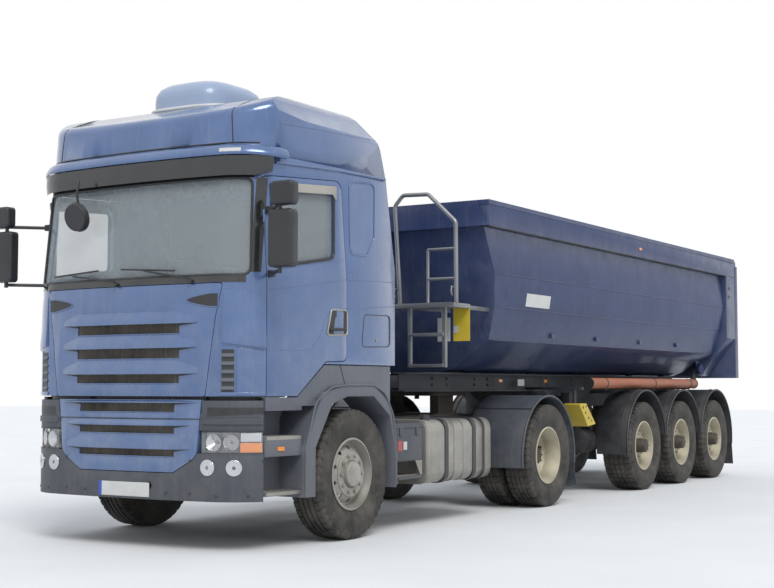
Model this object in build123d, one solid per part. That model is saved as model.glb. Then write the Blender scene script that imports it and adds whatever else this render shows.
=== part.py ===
from build123d import *
import os
from math import cos, radians, sin, hypot

# An articulated tipping lorry: a two-axle sleeper tractor and a three-axle tipping trailer.
# Sizes are in millimetres. While it is built, Y = 0 is the front axle, +Y runs to the rear,
# +X is the vehicle's left side and Z = 0 is the ground. The finished pieces are moved along Y
# so that the origin lies under the middle of the whole vehicle.

# Overall places along the vehicle
CAB_FRONT = -1440
VISOR_REACH = 110
VISOR_REAR_Y = -1165
TAILGATE_REAR = 9990
MIDDLE = (CAB_FRONT - VISOR_REACH + TAILGATE_REAR) / 2

# Clearances
SHUT_GAP = 6
SEAT_GAP = 0.3
RUNNING = 0.05
TRAVEL_GAP = 5

# Axles
WHEELBASE = 3700
TRAILER_AXLE_FIRST = 6500
TRAILER_AXLE_PITCH = 1310
TRAILER_AXLES = [TRAILER_AXLE_FIRST + n * TRAILER_AXLE_PITCH for n in range(3)]
TYRE_R = 533
AXLE_Z = TYRE_R
SPINDLE_R = 45

# Tyres and rims
RIM_SEAT_R = 286
BEAD_R = RIM_SEAT_R + SEAT_GAP
RIM_FLANGE_R = 298
RIM_WALL = 9
DISC_T = 14
FRONT_WHEEL_X = 1065
FRONT_TYRE_W = 300
DRIVE_OUTER_X = 1099
DRIVE_TWIN_PITCH = 345
DRIVE_INNER_X = DRIVE_OUTER_X - DRIVE_TWIN_PITCH
TRAILER_WHEEL_X = 1036
TRAILER_TYRE_W = 386
RIM_W = 250
TRAILER_RIM_W = 320
TRAILER_GUARD_X = 1235
HUB_R = 110
VENT_HOLES = 10
VENT_R = 18
VENT_CIRCLE_R = 205

# Steering
KINGPIN_X = 930
KNUCKLE_PIN_R = 22
STEER_ARM = 200
BEAM_TOP = 465
BEAM_HALF = 40
BEAM_H = 90
TIE_ROD_R = 18

# Tractor frame
RAIL_X = 385
RAIL_TOP = 960
RAIL_H = 270
RAIL_FLANGE = 80
RAIL_T = 9
SPRING_W = 85
FRAME_FRONT = -1290
FRAME_REAR = 4450
CROSS_R = 50
CROSS_PLACES = [-1220, 1300, 2250, 3200, 4380]

# Cab
CAB_HALF = 1230
CAB_FRONT_CORNER_Y = -1392
CAB_FRONT_CORNER_X = 820
CAB_TURN_Y = -1312
CAB_TURN_X = 1021
CAB_SIDE_START_Y = -1150
CAB_TAPER_START_Y = -245
CAB_TAPER = 65
CAB_REAR = 600
CAB_BELT = 2060
CAB_TOP = 3030
CAB_REAR_LEAN_Z = 2250
CAB_REAR_TOP_Y = 450
CAB_BOTTOM = 1176
CAB_REAR_BOTTOM = 1430
CAB_STEP_Y = -788
CAB_ARCH_Y = -460
SCREEN_LEAN = 110
ROOF_H = 600
ROOF_LEAN = 45
ROOF_BROW_R = 90
COOLER_RISE = 785
CAB_WALL = 60
FRONT_WALL = 150
FLOOR_T = 60

# Tilting pivot of the cab, under its floor at the front
PIVOT_Y = -1350
PIVOT_Z = 950
PIVOT_R = 14
PIVOT_BOSS_R = 20
PIVOT_ARM_X = 400
PIVOT_ARM_T = 40

# Door and its glass
DOOR_FRONT = -1157
DOOR_REAR_LOW = -150
DOOR_REAR_TOP = -240
DOOR_TOP = 2925
GLASS_T = 8
GLASS_SET = 26
SCREEN_REAR_Y = -980

# Dashboard and steering wheel in the cab
DASH_END_GAP = 40
STEERING_X = 550
STEERING_Y = -700
STEERING_Z = 2080

# Front flap, lower grille, bumper and lamps
FLAP_TOP = 2033
FLAP_TOP_HALF = 905
FLAP_MID_Z = 1775
FLAP_MID_HALF = 850
FLAP_BOTTOM_HALF = 765
FLAP_T = 55
FLAP_SKIN = 12
FLAP_EDGE = 30
GRILLE_HALF = 735
GRILLE_TOP = 1150
GRILLE_BOTTOM = 596
GRILLE_T = 50
SLOT_HALF = 530
SLOTS_UPPER = [(1658, 1737), (1467, 1550), (1276, 1350)]
SLOTS_LOWER = [(1055, 1130), (890, 955), (715, 775)]
BUMPER_BOTTOM = 385
BUMPER_TOP = 745
BUMPER_T = 110
BUMPER_REAR_Y = DOOR_FRONT - 14
LAMP_TOP = 912
CORNER_TOP = 1144
SIDE_PANEL_BOTTOM = 1066
TOW_X = 250
TOW_Z = 490
TOW_R = 20
STEP_REAR = -740
STEP_DEPTH = 260
STEP_LEVELS = [(420, 445), (835, 867)]

# Front wheel arch
ARCH_FRONT_OUT = -736
ARCH_FRONT_IN = -604
ARCH_REAR_IN = 598
ARCH_REAR_OUT = 612
ARCH_BOTTOM = 390
ARCH_TOP_OUT = 1262
ARCH_TOP_IN = 1170
ARCH_INNER_X = 900

# Tanks and boxes on the tractor
TANK_FRONT = 1190
TANK_REAR = 2430
TANK_BOTTOM = 375
TANK_TOP = 950
TANK_OUT_X = 1200
TANK_IN_X = 520
TANK_CORNER = 110
STRAP_W = 60
STRAP_T = 6
BOX_FRONT = 655
BOX_REAR = 1120
BOX_BOTTOM = 600
BOX_TOP = 925
BRACKET = 60

# Drive mudguards
GUARD_OUT_X = 1245
GUARD_IN_X = 590
GUARD_TOP = 1158
GUARD_T = 8
GUARD_R = 640
GUARD_LOW_Z = 380
FLAP_LOW_Z = 180

# Fifth wheel
COUPLING_Y = 3060
COUPLING_Z = 1200
PLATE_HALF = 450
PLATE_T = 45
KINGPIN_R = 25.4
KINGPIN_DROP = 80

# Trailer frame
NECK_FRONT = 1860
NECK_REAR = 5000
NECK_DROP_END = 5350
T_RAIL_X = 500
T_FLANGE = 140
T_FLANGE_T = 14
T_WEB_T = 12
T_CROSS_PLACES = [4200, 5700, 7150, 8460, 9280]
T_RAIL_TOP = 1388
T_RAIL_BOTTOM = 1010
T_FRAME_REAR = 9630
BEAM_Y = 9850
SKID_T = 12
TIP_Y = 9400
TIP_Z = 1490
TIP_PIN_R = 40
TIP_BOSS_R = 70
TIP_EAR_X = 830
TIP_EAR_T = 30

# Stowage tube and chock on the trailer's left side
TUBE_X = 1050
TUBE_Z = 1290
TUBE_R = 62
CHOCK_TOP = 1060

# Tipping body
BODY_BOTTOM = 1402
BODY_WALL = 8
RIM_TOP = 3060
RIM_H = 245
RIM_BOTTOM = RIM_TOP - RIM_H
BODY_HALF = 1275
BODY_FRONT_TOP_Y = 2300
BODY_REAR = 9860
# (half width, height) of the body's folded side, from the rim down to the floor
SIDE_FOLDS = [(BODY_HALF - 110, 2800), (BODY_HALF - 37, 2365), (BODY_HALF - 90, 2040),
              (BODY_HALF - 210, 1717), (BODY_HALF - 635, 1450)]
BODY_FLOOR_HALF = BODY_HALF - 795
FRONT_SLOPE = 0.30
POST_FRONT = 9490
POST_KINK_Z = 1930
POST_FOOT_HALF = BODY_HALF - 385
TAILGATE_BOTTOM = 1372
GATE_TOP = 2970
GATE_HINGE_Y = 9926
GATE_HINGE_Z = 3010
GATE_PIN_R = 20
GATE_EAR_R = 30
GATE_EAR_X = BODY_HALF - 95
GATE_EAR_T = 40
GATE_COLUMNS = 4
GATE_ROWS = 3
GATE_RIB = 70
GATE_SKIN = 10

# Handrail on the body's front platform
RAILING_Y = 1700

# Tipping cylinder
RAM_Y = 2080
RAM_BASE_Z = 1150
RAM_EYE_Z = 2700
RAM_BARREL_R = 132
RAM_WALL = 14
RAM_STAGES = 4
RAM_PIN_R = 30
CHEEK_X = 85
CHEEK_T = 30


def outline(*points):
    """A closed flat outline through (a, b) or (a, b, corner radius) points."""
    face = make_face(Polyline([(p[0], p[1]) for p in points], close=True))
    for p in points:
        if len(p) > 2:
            nearest = min(face.vertices(), key=lambda v: hypot(v.X - p[0], v.Y - p[1]))
            face = fillet(nearest, p[2])
    return face


def across(face, x0, x1):
    """An outline drawn in (y, z), as thick as from x0 to x1."""
    return extrude(Plane.YZ.offset(x0) * face, amount=x1 - x0)


def along(face, y0, y1):
    """An outline drawn in (x, z), as long as from y0 to y1."""
    return extrude(Plane.XZ.offset(-y1) * face, amount=y1 - y0)


def upward(face, z0, z1):
    """An outline drawn in (x, y), as high as from z0 to z1."""
    return extrude(Plane.XY.offset(z0) * face, amount=z1 - z0)


def block(x0, x1, y0, y1, z0, z1):
    return Pos((x0 + x1) / 2, (y0 + y1) / 2, (z0 + z1) / 2) * Box(x1 - x0, y1 - y0, z1 - z0)


def rod(start, end, radius):
    """A round bar between two points."""
    run = Vector(*end) - Vector(*start)
    return extrude(Plane(origin=start, z_dir=run) * Circle(radius), amount=run.length)


def turned(points, x=0, y=0, z=0):
    """A shape turned about an axle along X, from (x, radius) points."""
    return Pos(x, y, z) * revolve(outline(*points), Axis.X)


def both(shape):
    """The shape and its mirror image on the other side."""
    return shape + mirror(shape, Plane.YZ)


def right(shape):
    return mirror(shape, Plane.YZ)


def save(name, shape):
    """Writes one piece, moved so that the origin is under the vehicle's middle."""
    export_step(Pos(0, -MIDDLE, 0) * Compound(shape.solids()), f"parts/{name}.step")


# Wheels

def tyre(x, y, width, rim_width):
    """One tyre, its beads between the rim's flanges."""
    half = width / 2
    bead = rim_width / 2 - RIM_WALL - SEAT_GAP
    lip = RIM_FLANGE_R + 4
    side = [(bead, BEAD_R), (bead, lip), (half, BEAD_R + 125), (half * 0.93, TYRE_R - 28),
            (half * 0.8, TYRE_R - 5), (half * 0.45, TYRE_R)]
    return turned([(-a, r) for a, r in side] + side[::-1], x, y, AXLE_Z)


def rim_barrel(x, y, width):
    half = width / 2
    return turned([
        (-half, RIM_FLANGE_R), (-half, RIM_FLANGE_R - RIM_WALL - 6), (-half * 0.3, BEAD_R - 30),
        (half * 0.3, BEAD_R - 30), (half, RIM_FLANGE_R - RIM_WALL - 6), (half, RIM_FLANGE_R),
        (half - RIM_WALL, RIM_FLANGE_R), (half - RIM_WALL, RIM_SEAT_R),
        (half * 0.35, BEAD_R - 30 + RIM_WALL), (-half * 0.35, BEAD_R - 30 + RIM_WALL),
        (RIM_WALL - half, RIM_SEAT_R), (RIM_WALL - half, RIM_FLANGE_R),
    ], x, y, AXLE_Z)


def hub(x_in, x_disc, x_out, y):
    """A hub that runs on its spindle, with a flange at the disc."""
    bore = SPINDLE_R + RUNNING
    return turned([
        (x_in, bore), (x_in, HUB_R - 15), (x_disc - 30, HUB_R), (x_disc - 30, 165),
        (x_disc, 165), (x_disc, HUB_R), (x_out, HUB_R - 12), (x_out, 0),
        (x_out - 20, 0), (x_out - 20, bore),
    ], 0, y, AXLE_Z)


def disc(x_rim, x_centre, y):
    """A dished wheel disc from the barrel in to the hub flange."""
    return turned([
        (x_centre, HUB_R - 20), (x_centre, 170), (x_rim, 215), (x_rim, BEAD_R - 24),
        (x_rim + DISC_T, BEAD_R - 24), (x_rim + DISC_T, 215), (x_centre + DISC_T, 170),
        (x_centre + DISC_T, HUB_R - 20),
    ], 0, y, AXLE_Z)


def vents(x_rim, x_centre, y):
    """The holes round a wheel disc, from one face through to the other."""
    low, high = min(x_rim, x_centre) - 5, max(x_rim, x_centre) + DISC_T + 5
    holes = Part()
    for n in range(VENT_HOLES):
        turn = radians(360 * (n + 0.5) / VENT_HOLES)
        place = (y + VENT_CIRCLE_R * cos(turn), AXLE_Z + VENT_CIRCLE_R * sin(turn))
        holes += rod((low, *place), (high, *place), VENT_R)
    return holes


def front_rim():
    disc_x = FRONT_WHEEL_X + 70
    rim_x = FRONT_WHEEL_X + 30
    return (rim_barrel(FRONT_WHEEL_X, 0, RIM_W) + (disc(rim_x, disc_x, 0) - vents(rim_x, disc_x, 0))
            + hub(FRONT_WHEEL_X - 40, disc_x, FRONT_WHEEL_X + 150, 0))


def drive_rim():
    meet = (DRIVE_OUTER_X + DRIVE_INNER_X) / 2 + 20
    y = WHEELBASE
    return (rim_barrel(DRIVE_OUTER_X, y, RIM_W) + rim_barrel(DRIVE_INNER_X, y, RIM_W)
            + (disc(DRIVE_OUTER_X - 60, meet, y) - vents(DRIVE_OUTER_X - 60, meet, y))
            + (disc(DRIVE_INNER_X + 46, meet - DISC_T, y) - vents(DRIVE_INNER_X + 46, meet - DISC_T, y))
            + hub(meet - 120, meet, meet + 150, y))


def trailer_rim(y):
    disc_x = TRAILER_WHEEL_X + 40
    rim_x = TRAILER_WHEEL_X + 20
    return (rim_barrel(TRAILER_WHEEL_X, y, TRAILER_RIM_W) + (disc(rim_x, disc_x, y) - vents(rim_x, disc_x, y))
            + hub(TRAILER_WHEEL_X - 140, disc_x, TRAILER_WHEEL_X + 190, y))


def twin_tyres():
    return (tyre(DRIVE_OUTER_X, WHEELBASE, FRONT_TYRE_W, RIM_W)
            + tyre(DRIVE_INNER_X, WHEELBASE, FRONT_TYRE_W, RIM_W))


def save_wheels():
    wheels = [("front", tyre(FRONT_WHEEL_X, 0, FRONT_TYRE_W, RIM_W), front_rim()),
              ("drive", twin_tyres(), drive_rim())]
    wheels += [(f"trailer_{n + 1}", tyre(TRAILER_WHEEL_X, y, TRAILER_TYRE_W, TRAILER_RIM_W), trailer_rim(y))
               for n, y in enumerate(TRAILER_AXLES)]
    for name, tyres, rim in wheels:
        save(f"tyre_{name}_left", tyres)
        save(f"tyre_{name}_right", right(tyres))
        save(f"rim_{name}_left", rim)
        save(f"rim_{name}_right", right(rim))


# Front axle and steering

BOSS_R = 48
BOSS_HALF = 55
EAR_T = 35


def front_axle():
    """A forged beam that drops between its two kingpin bosses."""
    half = [(520, BEAM_TOP - BEAM_H), (KINGPIN_X - 120, AXLE_Z - 60), (KINGPIN_X, AXLE_Z - 45),
            (KINGPIN_X, AXLE_Z + 45), (KINGPIN_X - 130, AXLE_Z + 30), (500, BEAM_TOP)]
    beam = along(outline(*half, *[(-x, z) for x, z in reversed(half)]), -BEAM_HALF, BEAM_HALF)
    for side in (-1, 1):
        x = side * KINGPIN_X
        beam += rod((x, 0, AXLE_Z - BOSS_HALF), (x, 0, AXLE_Z + BOSS_HALF), BOSS_R)
        beam -= rod((x, 0, AXLE_Z - 100), (x, 0, AXLE_Z + 100), KNUCKLE_PIN_R + RUNNING)
    return beam


def knuckle():
    """The left knuckle: two ears, kingpin, spindle and steering arm."""
    gap = TRAVEL_GAP
    top = AXLE_Z + BOSS_HALF + gap
    low = AXLE_Z - BOSS_HALF - gap
    side = KINGPIN_X + BOSS_R + gap
    solid = block(KINGPIN_X - 50, side + 30, -50, 50, top, top + EAR_T)
    solid += block(KINGPIN_X - 50, side + 30, -50, 50, low - EAR_T, low)
    solid += block(side, side + 30, -50, 50, low - EAR_T, top + EAR_T)
    solid += rod((KINGPIN_X, 0, low - EAR_T), (KINGPIN_X, 0, top + EAR_T), KNUCKLE_PIN_R)
    solid += rod((side + 20, 0, AXLE_Z), (FRONT_WHEEL_X + 125, 0, AXLE_Z), SPINDLE_R)
    arm_top = low - 5
    solid += block(KINGPIN_X - 22, KINGPIN_X + 22, 0, STEER_ARM + 30, arm_top - 30, arm_top)
    solid -= rod((KINGPIN_X, STEER_ARM, arm_top - 60), (KINGPIN_X, STEER_ARM, arm_top + 30), 12 + RUNNING)
    return solid


def tie_rod():
    """The track rod, with a ball pin up into each steering arm."""
    arm_low = AXLE_Z - BOSS_HALF - TRAVEL_GAP - 5 - 30
    z = arm_low - TRAVEL_GAP - TIE_ROD_R
    bar = rod((-KINGPIN_X - 15, STEER_ARM, z), (KINGPIN_X + 15, STEER_ARM, z), TIE_ROD_R)
    return bar + both(rod((KINGPIN_X, STEER_ARM, z), (KINGPIN_X, STEER_ARM, arm_low + 28), 12))


# Tractor chassis

def channel_rail(y0, y1):
    """One pressed channel rail, open towards the middle."""
    x = RAIL_X
    low = RAIL_TOP - RAIL_H
    section = outline((x, low), (x, RAIL_TOP), (x - RAIL_FLANGE, RAIL_TOP),
                      (x - RAIL_FLANGE, RAIL_TOP - RAIL_T), (x - RAIL_T, RAIL_TOP - RAIL_T),
                      (x - RAIL_T, low + RAIL_T), (x - RAIL_FLANGE, low + RAIL_T),
                      (x - RAIL_FLANGE, low))
    return along(section, y0, y1)


def tractor_frame():
    frame = both(channel_rail(FRAME_FRONT, FRAME_REAR))
    mid = RAIL_TOP - RAIL_H / 2
    for y in CROSS_PLACES:
        reach = RAIL_X - RAIL_T - SEAT_GAP
        frame += rod((-reach, y, mid), (reach, y, mid), CROSS_R)
    # Leaf springs at the front axle, on the frame's hangers
    x0, x1 = RAIL_X + SEAT_GAP, RAIL_X + SPRING_W
    spring = across(outline((-780, 560), (-780, 600), (0, 512), (780, 600), (780, 560),
                            (BEAM_HALF, BEAM_TOP + SEAT_GAP), (-BEAM_HALF, BEAM_TOP + SEAT_GAP)), x0, x1)
    for y in (-780, 720):
        spring += block(x0, x1, y, y + 60, 560, RAIL_TOP - 60)
    frame += both(spring)
    # Brackets that carry the tanks and boxes
    for y in (BOX_FRONT + 60, BOX_REAR - 120, TANK_FRONT + 150, TANK_REAR - 200):
        frame += both(block(RAIL_X + SEAT_GAP, TANK_IN_X - SEAT_GAP, y, y + BRACKET, 700, 900))
    return frame


def engine():
    """The engine and gearbox, as one plain block between the rails."""
    feet = both(block(280, RAIL_X - 30, -300, -180, RAIL_TOP + SEAT_GAP, RAIL_TOP + 40))
    return block(-290, 290, -760, 330, 520, 1120) + block(-200, 200, 330, 1150, 560, 860) + feet


def drive_axle():
    """A banjo axle case with its final drive and spindles."""
    meet = (DRIVE_OUTER_X + DRIVE_INNER_X) / 2 + 20
    case = turned([(-meet - 110, 0), (-meet - 110, SPINDLE_R), (130 - meet, SPINDLE_R),
                   (130 - meet, 75), (-330, 80), (-190, 190), (-90, 235), (90, 235), (190, 190),
                   (330, 80), (meet - 130, 75), (meet - 130, SPINDLE_R), (meet + 110, SPINDLE_R),
                   (meet + 110, 0)], 0, WHEELBASE, AXLE_Z)
    case += rod((0, WHEELBASE, AXLE_Z), (0, WHEELBASE - 360, AXLE_Z + 20), 110)
    # The propeller shaft to the gearbox
    case += rod((0, 1156, 700), (0, WHEELBASE - 350, AXLE_Z + 20), 50)
    # Air springs between the axle and the frame
    for y in (WHEELBASE - 330, WHEELBASE + 330):
        for x in (-430, 430):
            case += rod((x, y, AXLE_Z - 40), (x, y, RAIL_TOP - RAIL_H - SEAT_GAP), 110)
    for x in (-430, 430):
        case += block(x - 50, x + 50, WHEELBASE - 450, WHEELBASE + 450, AXLE_Z - 90, AXLE_Z - 20)
    return case


def tractor_axles():
    return front_axle() + drive_axle()


def fifth_wheel():
    """The coupling plate with its throat, on its stand across the frame."""
    half = PLATE_HALF
    y = COUPLING_Y
    plate = upward(outline((-half, y - 330, 150), (half, y - 330, 150), (half, y + 250, 100),
                           (300, y + 480, 60), (120, y + 480), (60, y + 120), (-60, y + 120),
                           (-120, y + 480), (-300, y + 480, 60), (-half, y + 250, 100)),
                   COUPLING_Z - PLATE_T, COUPLING_Z)
    plate -= rod((0, y, COUPLING_Z - 100), (0, y, COUPLING_Z + 10), KINGPIN_R + 0.1)
    stand = both(block(250, 350, y - 160, y + 160, RAIL_TOP + 12, COUPLING_Z - PLATE_T))
    base = block(-RAIL_X, RAIL_X, y - 300, y + 300, RAIL_TOP, RAIL_TOP + 12)
    return plate + stand + base


def side_tanks():
    """A strapped fuel tank on each side."""
    section = outline((TANK_IN_X, TANK_BOTTOM, TANK_CORNER), (TANK_OUT_X, TANK_BOTTOM, TANK_CORNER),
                      (TANK_OUT_X, TANK_TOP, TANK_CORNER), (TANK_IN_X, TANK_TOP, 40))
    tank = along(section, TANK_FRONT, TANK_REAR)
    grow = STRAP_T
    strap = outline((TANK_IN_X, TANK_BOTTOM - grow, TANK_CORNER),
                    (TANK_OUT_X + grow, TANK_BOTTOM - grow, TANK_CORNER),
                    (TANK_OUT_X + grow, TANK_TOP + grow, TANK_CORNER), (TANK_IN_X, TANK_TOP + grow, 40))
    for share in (0.27, 0.70):
        y = TANK_FRONT + share * (TANK_REAR - TANK_FRONT)
        tank += along(strap, y, y + STRAP_W)
    return both(tank)


def side_boxes():
    """The battery box with its step on the left, the silencer box on the right."""
    box = block(TANK_IN_X, TANK_OUT_X, BOX_FRONT, BOX_REAR, BOX_BOTTOM, BOX_TOP)
    step = block(TANK_OUT_X - 250, TANK_OUT_X, BOX_FRONT + 60, BOX_REAR, 440, 470)
    step += both(block(TANK_OUT_X - 240, TANK_OUT_X - 210, BOX_FRONT + 100, BOX_REAR - 60, 470, BOX_BOTTOM))
    step = step - block(-2000, 0, -3000, 3000, 0, 3000)
    silencer = block(TANK_IN_X, TANK_OUT_X - 20, BOX_FRONT + 20, BOX_REAR, 430, BOX_TOP)
    return box + step + right(silencer)


def arc_guard(y, z, radius, angle0, angle1, x0, x1, steps=14):
    """A curved guard over a wheel: a ring sector as wide as from x0 to x1."""
    turn = (angle1 - angle0) / steps
    angles = [radians(angle0 + n * turn) for n in range(steps + 1)]
    outer = [(y + radius * cos(a), z + radius * sin(a)) for a in angles]
    inner = [(y + (radius - GUARD_T) * cos(a), z + (radius - GUARD_T) * sin(a)) for a in reversed(angles)]
    return across(outline(*outer, *inner), x0, x1)


def drive_guards():
    """Three-piece guards over the twin wheels, with flaps behind."""
    y = WHEELBASE - 20
    guard = arc_guard(y, GUARD_TOP - GUARD_R, GUARD_R, -8, 188, GUARD_IN_X, GUARD_OUT_X)
    guard += across(outline((y + 622, GUARD_LOW_Z + 60), (y + 634, GUARD_LOW_Z + 60),
                            (y + 690, FLAP_LOW_Z), (y + 678, FLAP_LOW_Z)), GUARD_IN_X + 10, GUARD_OUT_X - 5)
    arm = block(RAIL_X, GUARD_IN_X, y - 30, y + 30, RAIL_TOP - 120, RAIL_TOP - 60)
    arm += block(GUARD_IN_X - 30, GUARD_IN_X, y - 30, y + 30, RAIL_TOP - 120, GUARD_TOP)
    return both(guard + arm)


# Cab outlines seen from above

def plan(grow=0, front=0, rear=CAB_REAR):
    """The cab's outline from above: bowed front, round front corners, sides that lean in towards the front.
    grow makes it larger all round, front moves the whole front."""
    half = CAB_HALF + grow
    start = half - CAB_TAPER
    nose = CAB_FRONT - grow + front
    edge = CAB_FRONT_CORNER_Y - grow + front
    side = CAB_SIDE_START_Y - 0.3 * grow + front
    wide = CAB_FRONT_CORNER_X + 0.15 * grow
    turn_x = CAB_TURN_X + 0.69 * grow
    turn_y = CAB_TURN_Y - 0.72 * grow + front
    lines = [Line((half, rear), (half, CAB_TAPER_START_Y)),
             Line((half, CAB_TAPER_START_Y), (start, side)),
             ThreePointArc((start, side), (turn_x, turn_y), (wide, edge)),
             ThreePointArc((wide, edge), (0, nose), (-wide, edge)),
             ThreePointArc((-wide, edge), (-turn_x, turn_y), (-start, side)),
             Line((-start, side), (-half, CAB_TAPER_START_Y)),
             Line((-half, CAB_TAPER_START_Y), (-half, rear)),
             Line((-half, rear), (half, rear))]
    return make_face(Curve() + lines)


def cab_form(inset=0, front_inset=0, base=0):
    """The cab's solid form under the roof, or that of its hollow when inset."""
    low = upward(plan(-inset, max(0, front_inset - inset)), 0, CAB_BELT)
    high = loft([Plane.XY.offset(CAB_BELT) * plan(-inset),
                 Plane.XY.offset(CAB_TOP) * plan(-inset, SCREEN_LEAN)], ruled=True)
    return (low + high) & across(side_outline(inset, base), -2000, 2000)


def side_outline(inset=0, base=0):
    """The cab seen from the side: floor steps over the wheel, rear leans forward at the top."""
    lift = base
    return outline((-2000, CAB_BOTTOM + lift), (CAB_STEP_Y, CAB_BOTTOM + lift),
                   (CAB_ARCH_Y, CAB_REAR_BOTTOM + lift), (CAB_REAR - inset, CAB_REAR_BOTTOM + lift),
                   (CAB_REAR - inset, CAB_REAR_LEAN_Z), (CAB_REAR_TOP_Y - inset, CAB_TOP),
                   (-2000, CAB_TOP))


def door_outline(gap=0):
    low = CAB_BOTTOM + gap - SHUT_GAP
    rear_low = CAB_REAR_BOTTOM + gap - SHUT_GAP
    return outline((DOOR_FRONT + gap, low), (CAB_STEP_Y - gap, low), (CAB_ARCH_Y + 30 - gap, rear_low + 20),
                   (DOOR_REAR_LOW - gap, rear_low + 30, 60),
                   (DOOR_REAR_LOW - gap, 2080), (DOOR_REAR_TOP - gap, DOOR_TOP - gap, 90),
                   (DOOR_FRONT + gap, DOOR_TOP - 60 - gap, 30))


def window_outline(gap=0):
    return outline((-1095 + gap, 2160 + gap, 40), (-336 - gap, 2284 + gap, 60),
                   (-336 - gap, 2850 - gap, 90), (-1095 + gap, 2803 - gap, 40))


def screen_outline(gap=0):
    return outline((-1085 + gap, 2095 + gap, 60), (1085 - gap, 2095 + gap, 60),
                   (1055 - gap, 2845 - gap, 60), (-1055 + gap, 2845 - gap, 60))


def flap_outline(gap=0):
    half = [(FLAP_BOTTOM_HALF - gap, CAB_BOTTOM + gap, 20), (FLAP_MID_HALF - gap, FLAP_MID_Z),
            (FLAP_TOP_HALF - gap, FLAP_TOP - gap, 20)]
    return outline(*half, *[(-p[0], *p[1:]) for p in reversed(half)])


def cab_parts():
    """The cab's hollow shell, split where its doors, flap and windscreen part from it."""
    outer = cab_form()
    skin = outer - cab_form(CAB_WALL, FRONT_WALL, FLOOR_T)
    door_inner = CAB_HALF - CAB_TAPER - CAB_WALL - 20
    door_cut = across(door_outline(), door_inner, CAB_HALF + 20)
    shell = skin - both(door_cut)
    shell -= along(screen_outline(), -1700, SCREEN_REAR_Y)
    pocket = upward(plan(), 0, CAB_BELT) - upward(plan(0, FLAP_T + SHUT_GAP), 0, CAB_BELT)
    shell -= pocket & along(flap_outline(-SHUT_GAP), -1700, -1100)
    mouth = FLAP_BOTTOM_HALF + SHUT_GAP
    shell -= block(-mouth, mouth, -1700, CAB_FRONT + 90, 1000, CAB_BOTTOM + 30)
    for z in (1500, 2500):
        x = CAB_HALF - CAB_TAPER
        lug = block(x - 55, x - 25, DOOR_FRONT - 3, DOOR_FRONT + SHUT_GAP - SEAT_GAP, z, z + 100)
        shell += both(lug)
    door = skin & across(door_outline(SHUT_GAP), door_inner + SHUT_GAP, CAB_HALF + 20)
    door -= across(window_outline(), 0, 2000)
    glass = cab_form(GLASS_SET) - cab_form(GLASS_SET + GLASS_T)
    glass = glass & across(window_outline(SEAT_GAP), 1000, CAB_HALF)
    flap_skin = upward(plan(), 0, CAB_BELT) - upward(plan(0, FLAP_SKIN), 0, CAB_BELT)
    flap_back = upward(plan(0, FLAP_SKIN), 0, CAB_BELT) - upward(plan(0, FLAP_T), 0, CAB_BELT)
    flap = flap_skin & along(flap_outline(), -1700, -1100)
    flap += flap_back & along(flap_outline(FLAP_EDGE), -1700, -1100)
    for low, top in SLOTS_UPPER:
        flap -= block(-SLOT_HALF, SLOT_HALF, -1700, CAB_FRONT + 35, low, top)
    stops = upward(plan(0, FLAP_T + SEAT_GAP), 1230, 1290)
    stops -= upward(plan(0, FLAP_T + SHUT_GAP + 5), 1200, 1300)
    shell += both(stops & block(560, 620, -1700, -1100, 1230, 1290))
    # Arms that reach forward under the floor to the tilting pivot
    x0, x1 = PIVOT_ARM_X, PIVOT_ARM_X + PIVOT_ARM_T
    low = PIVOT_Z - PIVOT_BOSS_R + 2
    arm = across(outline((PIVOT_Y - 8, low), (PIVOT_Y + 10, low),
                         (PIVOT_Y + 500, CAB_BOTTOM - 20), (PIVOT_Y + 500, CAB_BOTTOM + 10),
                         (PIVOT_Y + 400, CAB_BOTTOM + 10), (PIVOT_Y - 8, PIVOT_Z + PIVOT_BOSS_R - 2)), x0, x1)
    arm += rod((x0, PIVOT_Y, PIVOT_Z), (x1, PIVOT_Y, PIVOT_Z), PIVOT_BOSS_R)
    arm -= rod((x0 - 50, PIVOT_Y, PIVOT_Z), (x1 + 50, PIVOT_Y, PIVOT_Z), PIVOT_R + RUNNING)
    shell += both(arm)
    return shell, door, glass, flap


def windscreen():
    """Curved glass that fills the windscreen opening, set back from the cab's front."""
    def sheet(front):
        return loft([Plane.XY.offset(CAB_BELT) * plan(0, front),
                     Plane.XY.offset(CAB_TOP) * plan(0, front + SCREEN_LEAN)], ruled=True)
    return (sheet(14) - sheet(14 + GLASS_T)) & along(screen_outline(SEAT_GAP), -1700, SCREEN_REAR_Y)


def rounded_plan(half, front, rear, radius):
    return outline((-half, front, radius), (half, front, radius), (half, rear, radius * 0.4),
                   (-half, rear, radius * 0.4))


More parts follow.
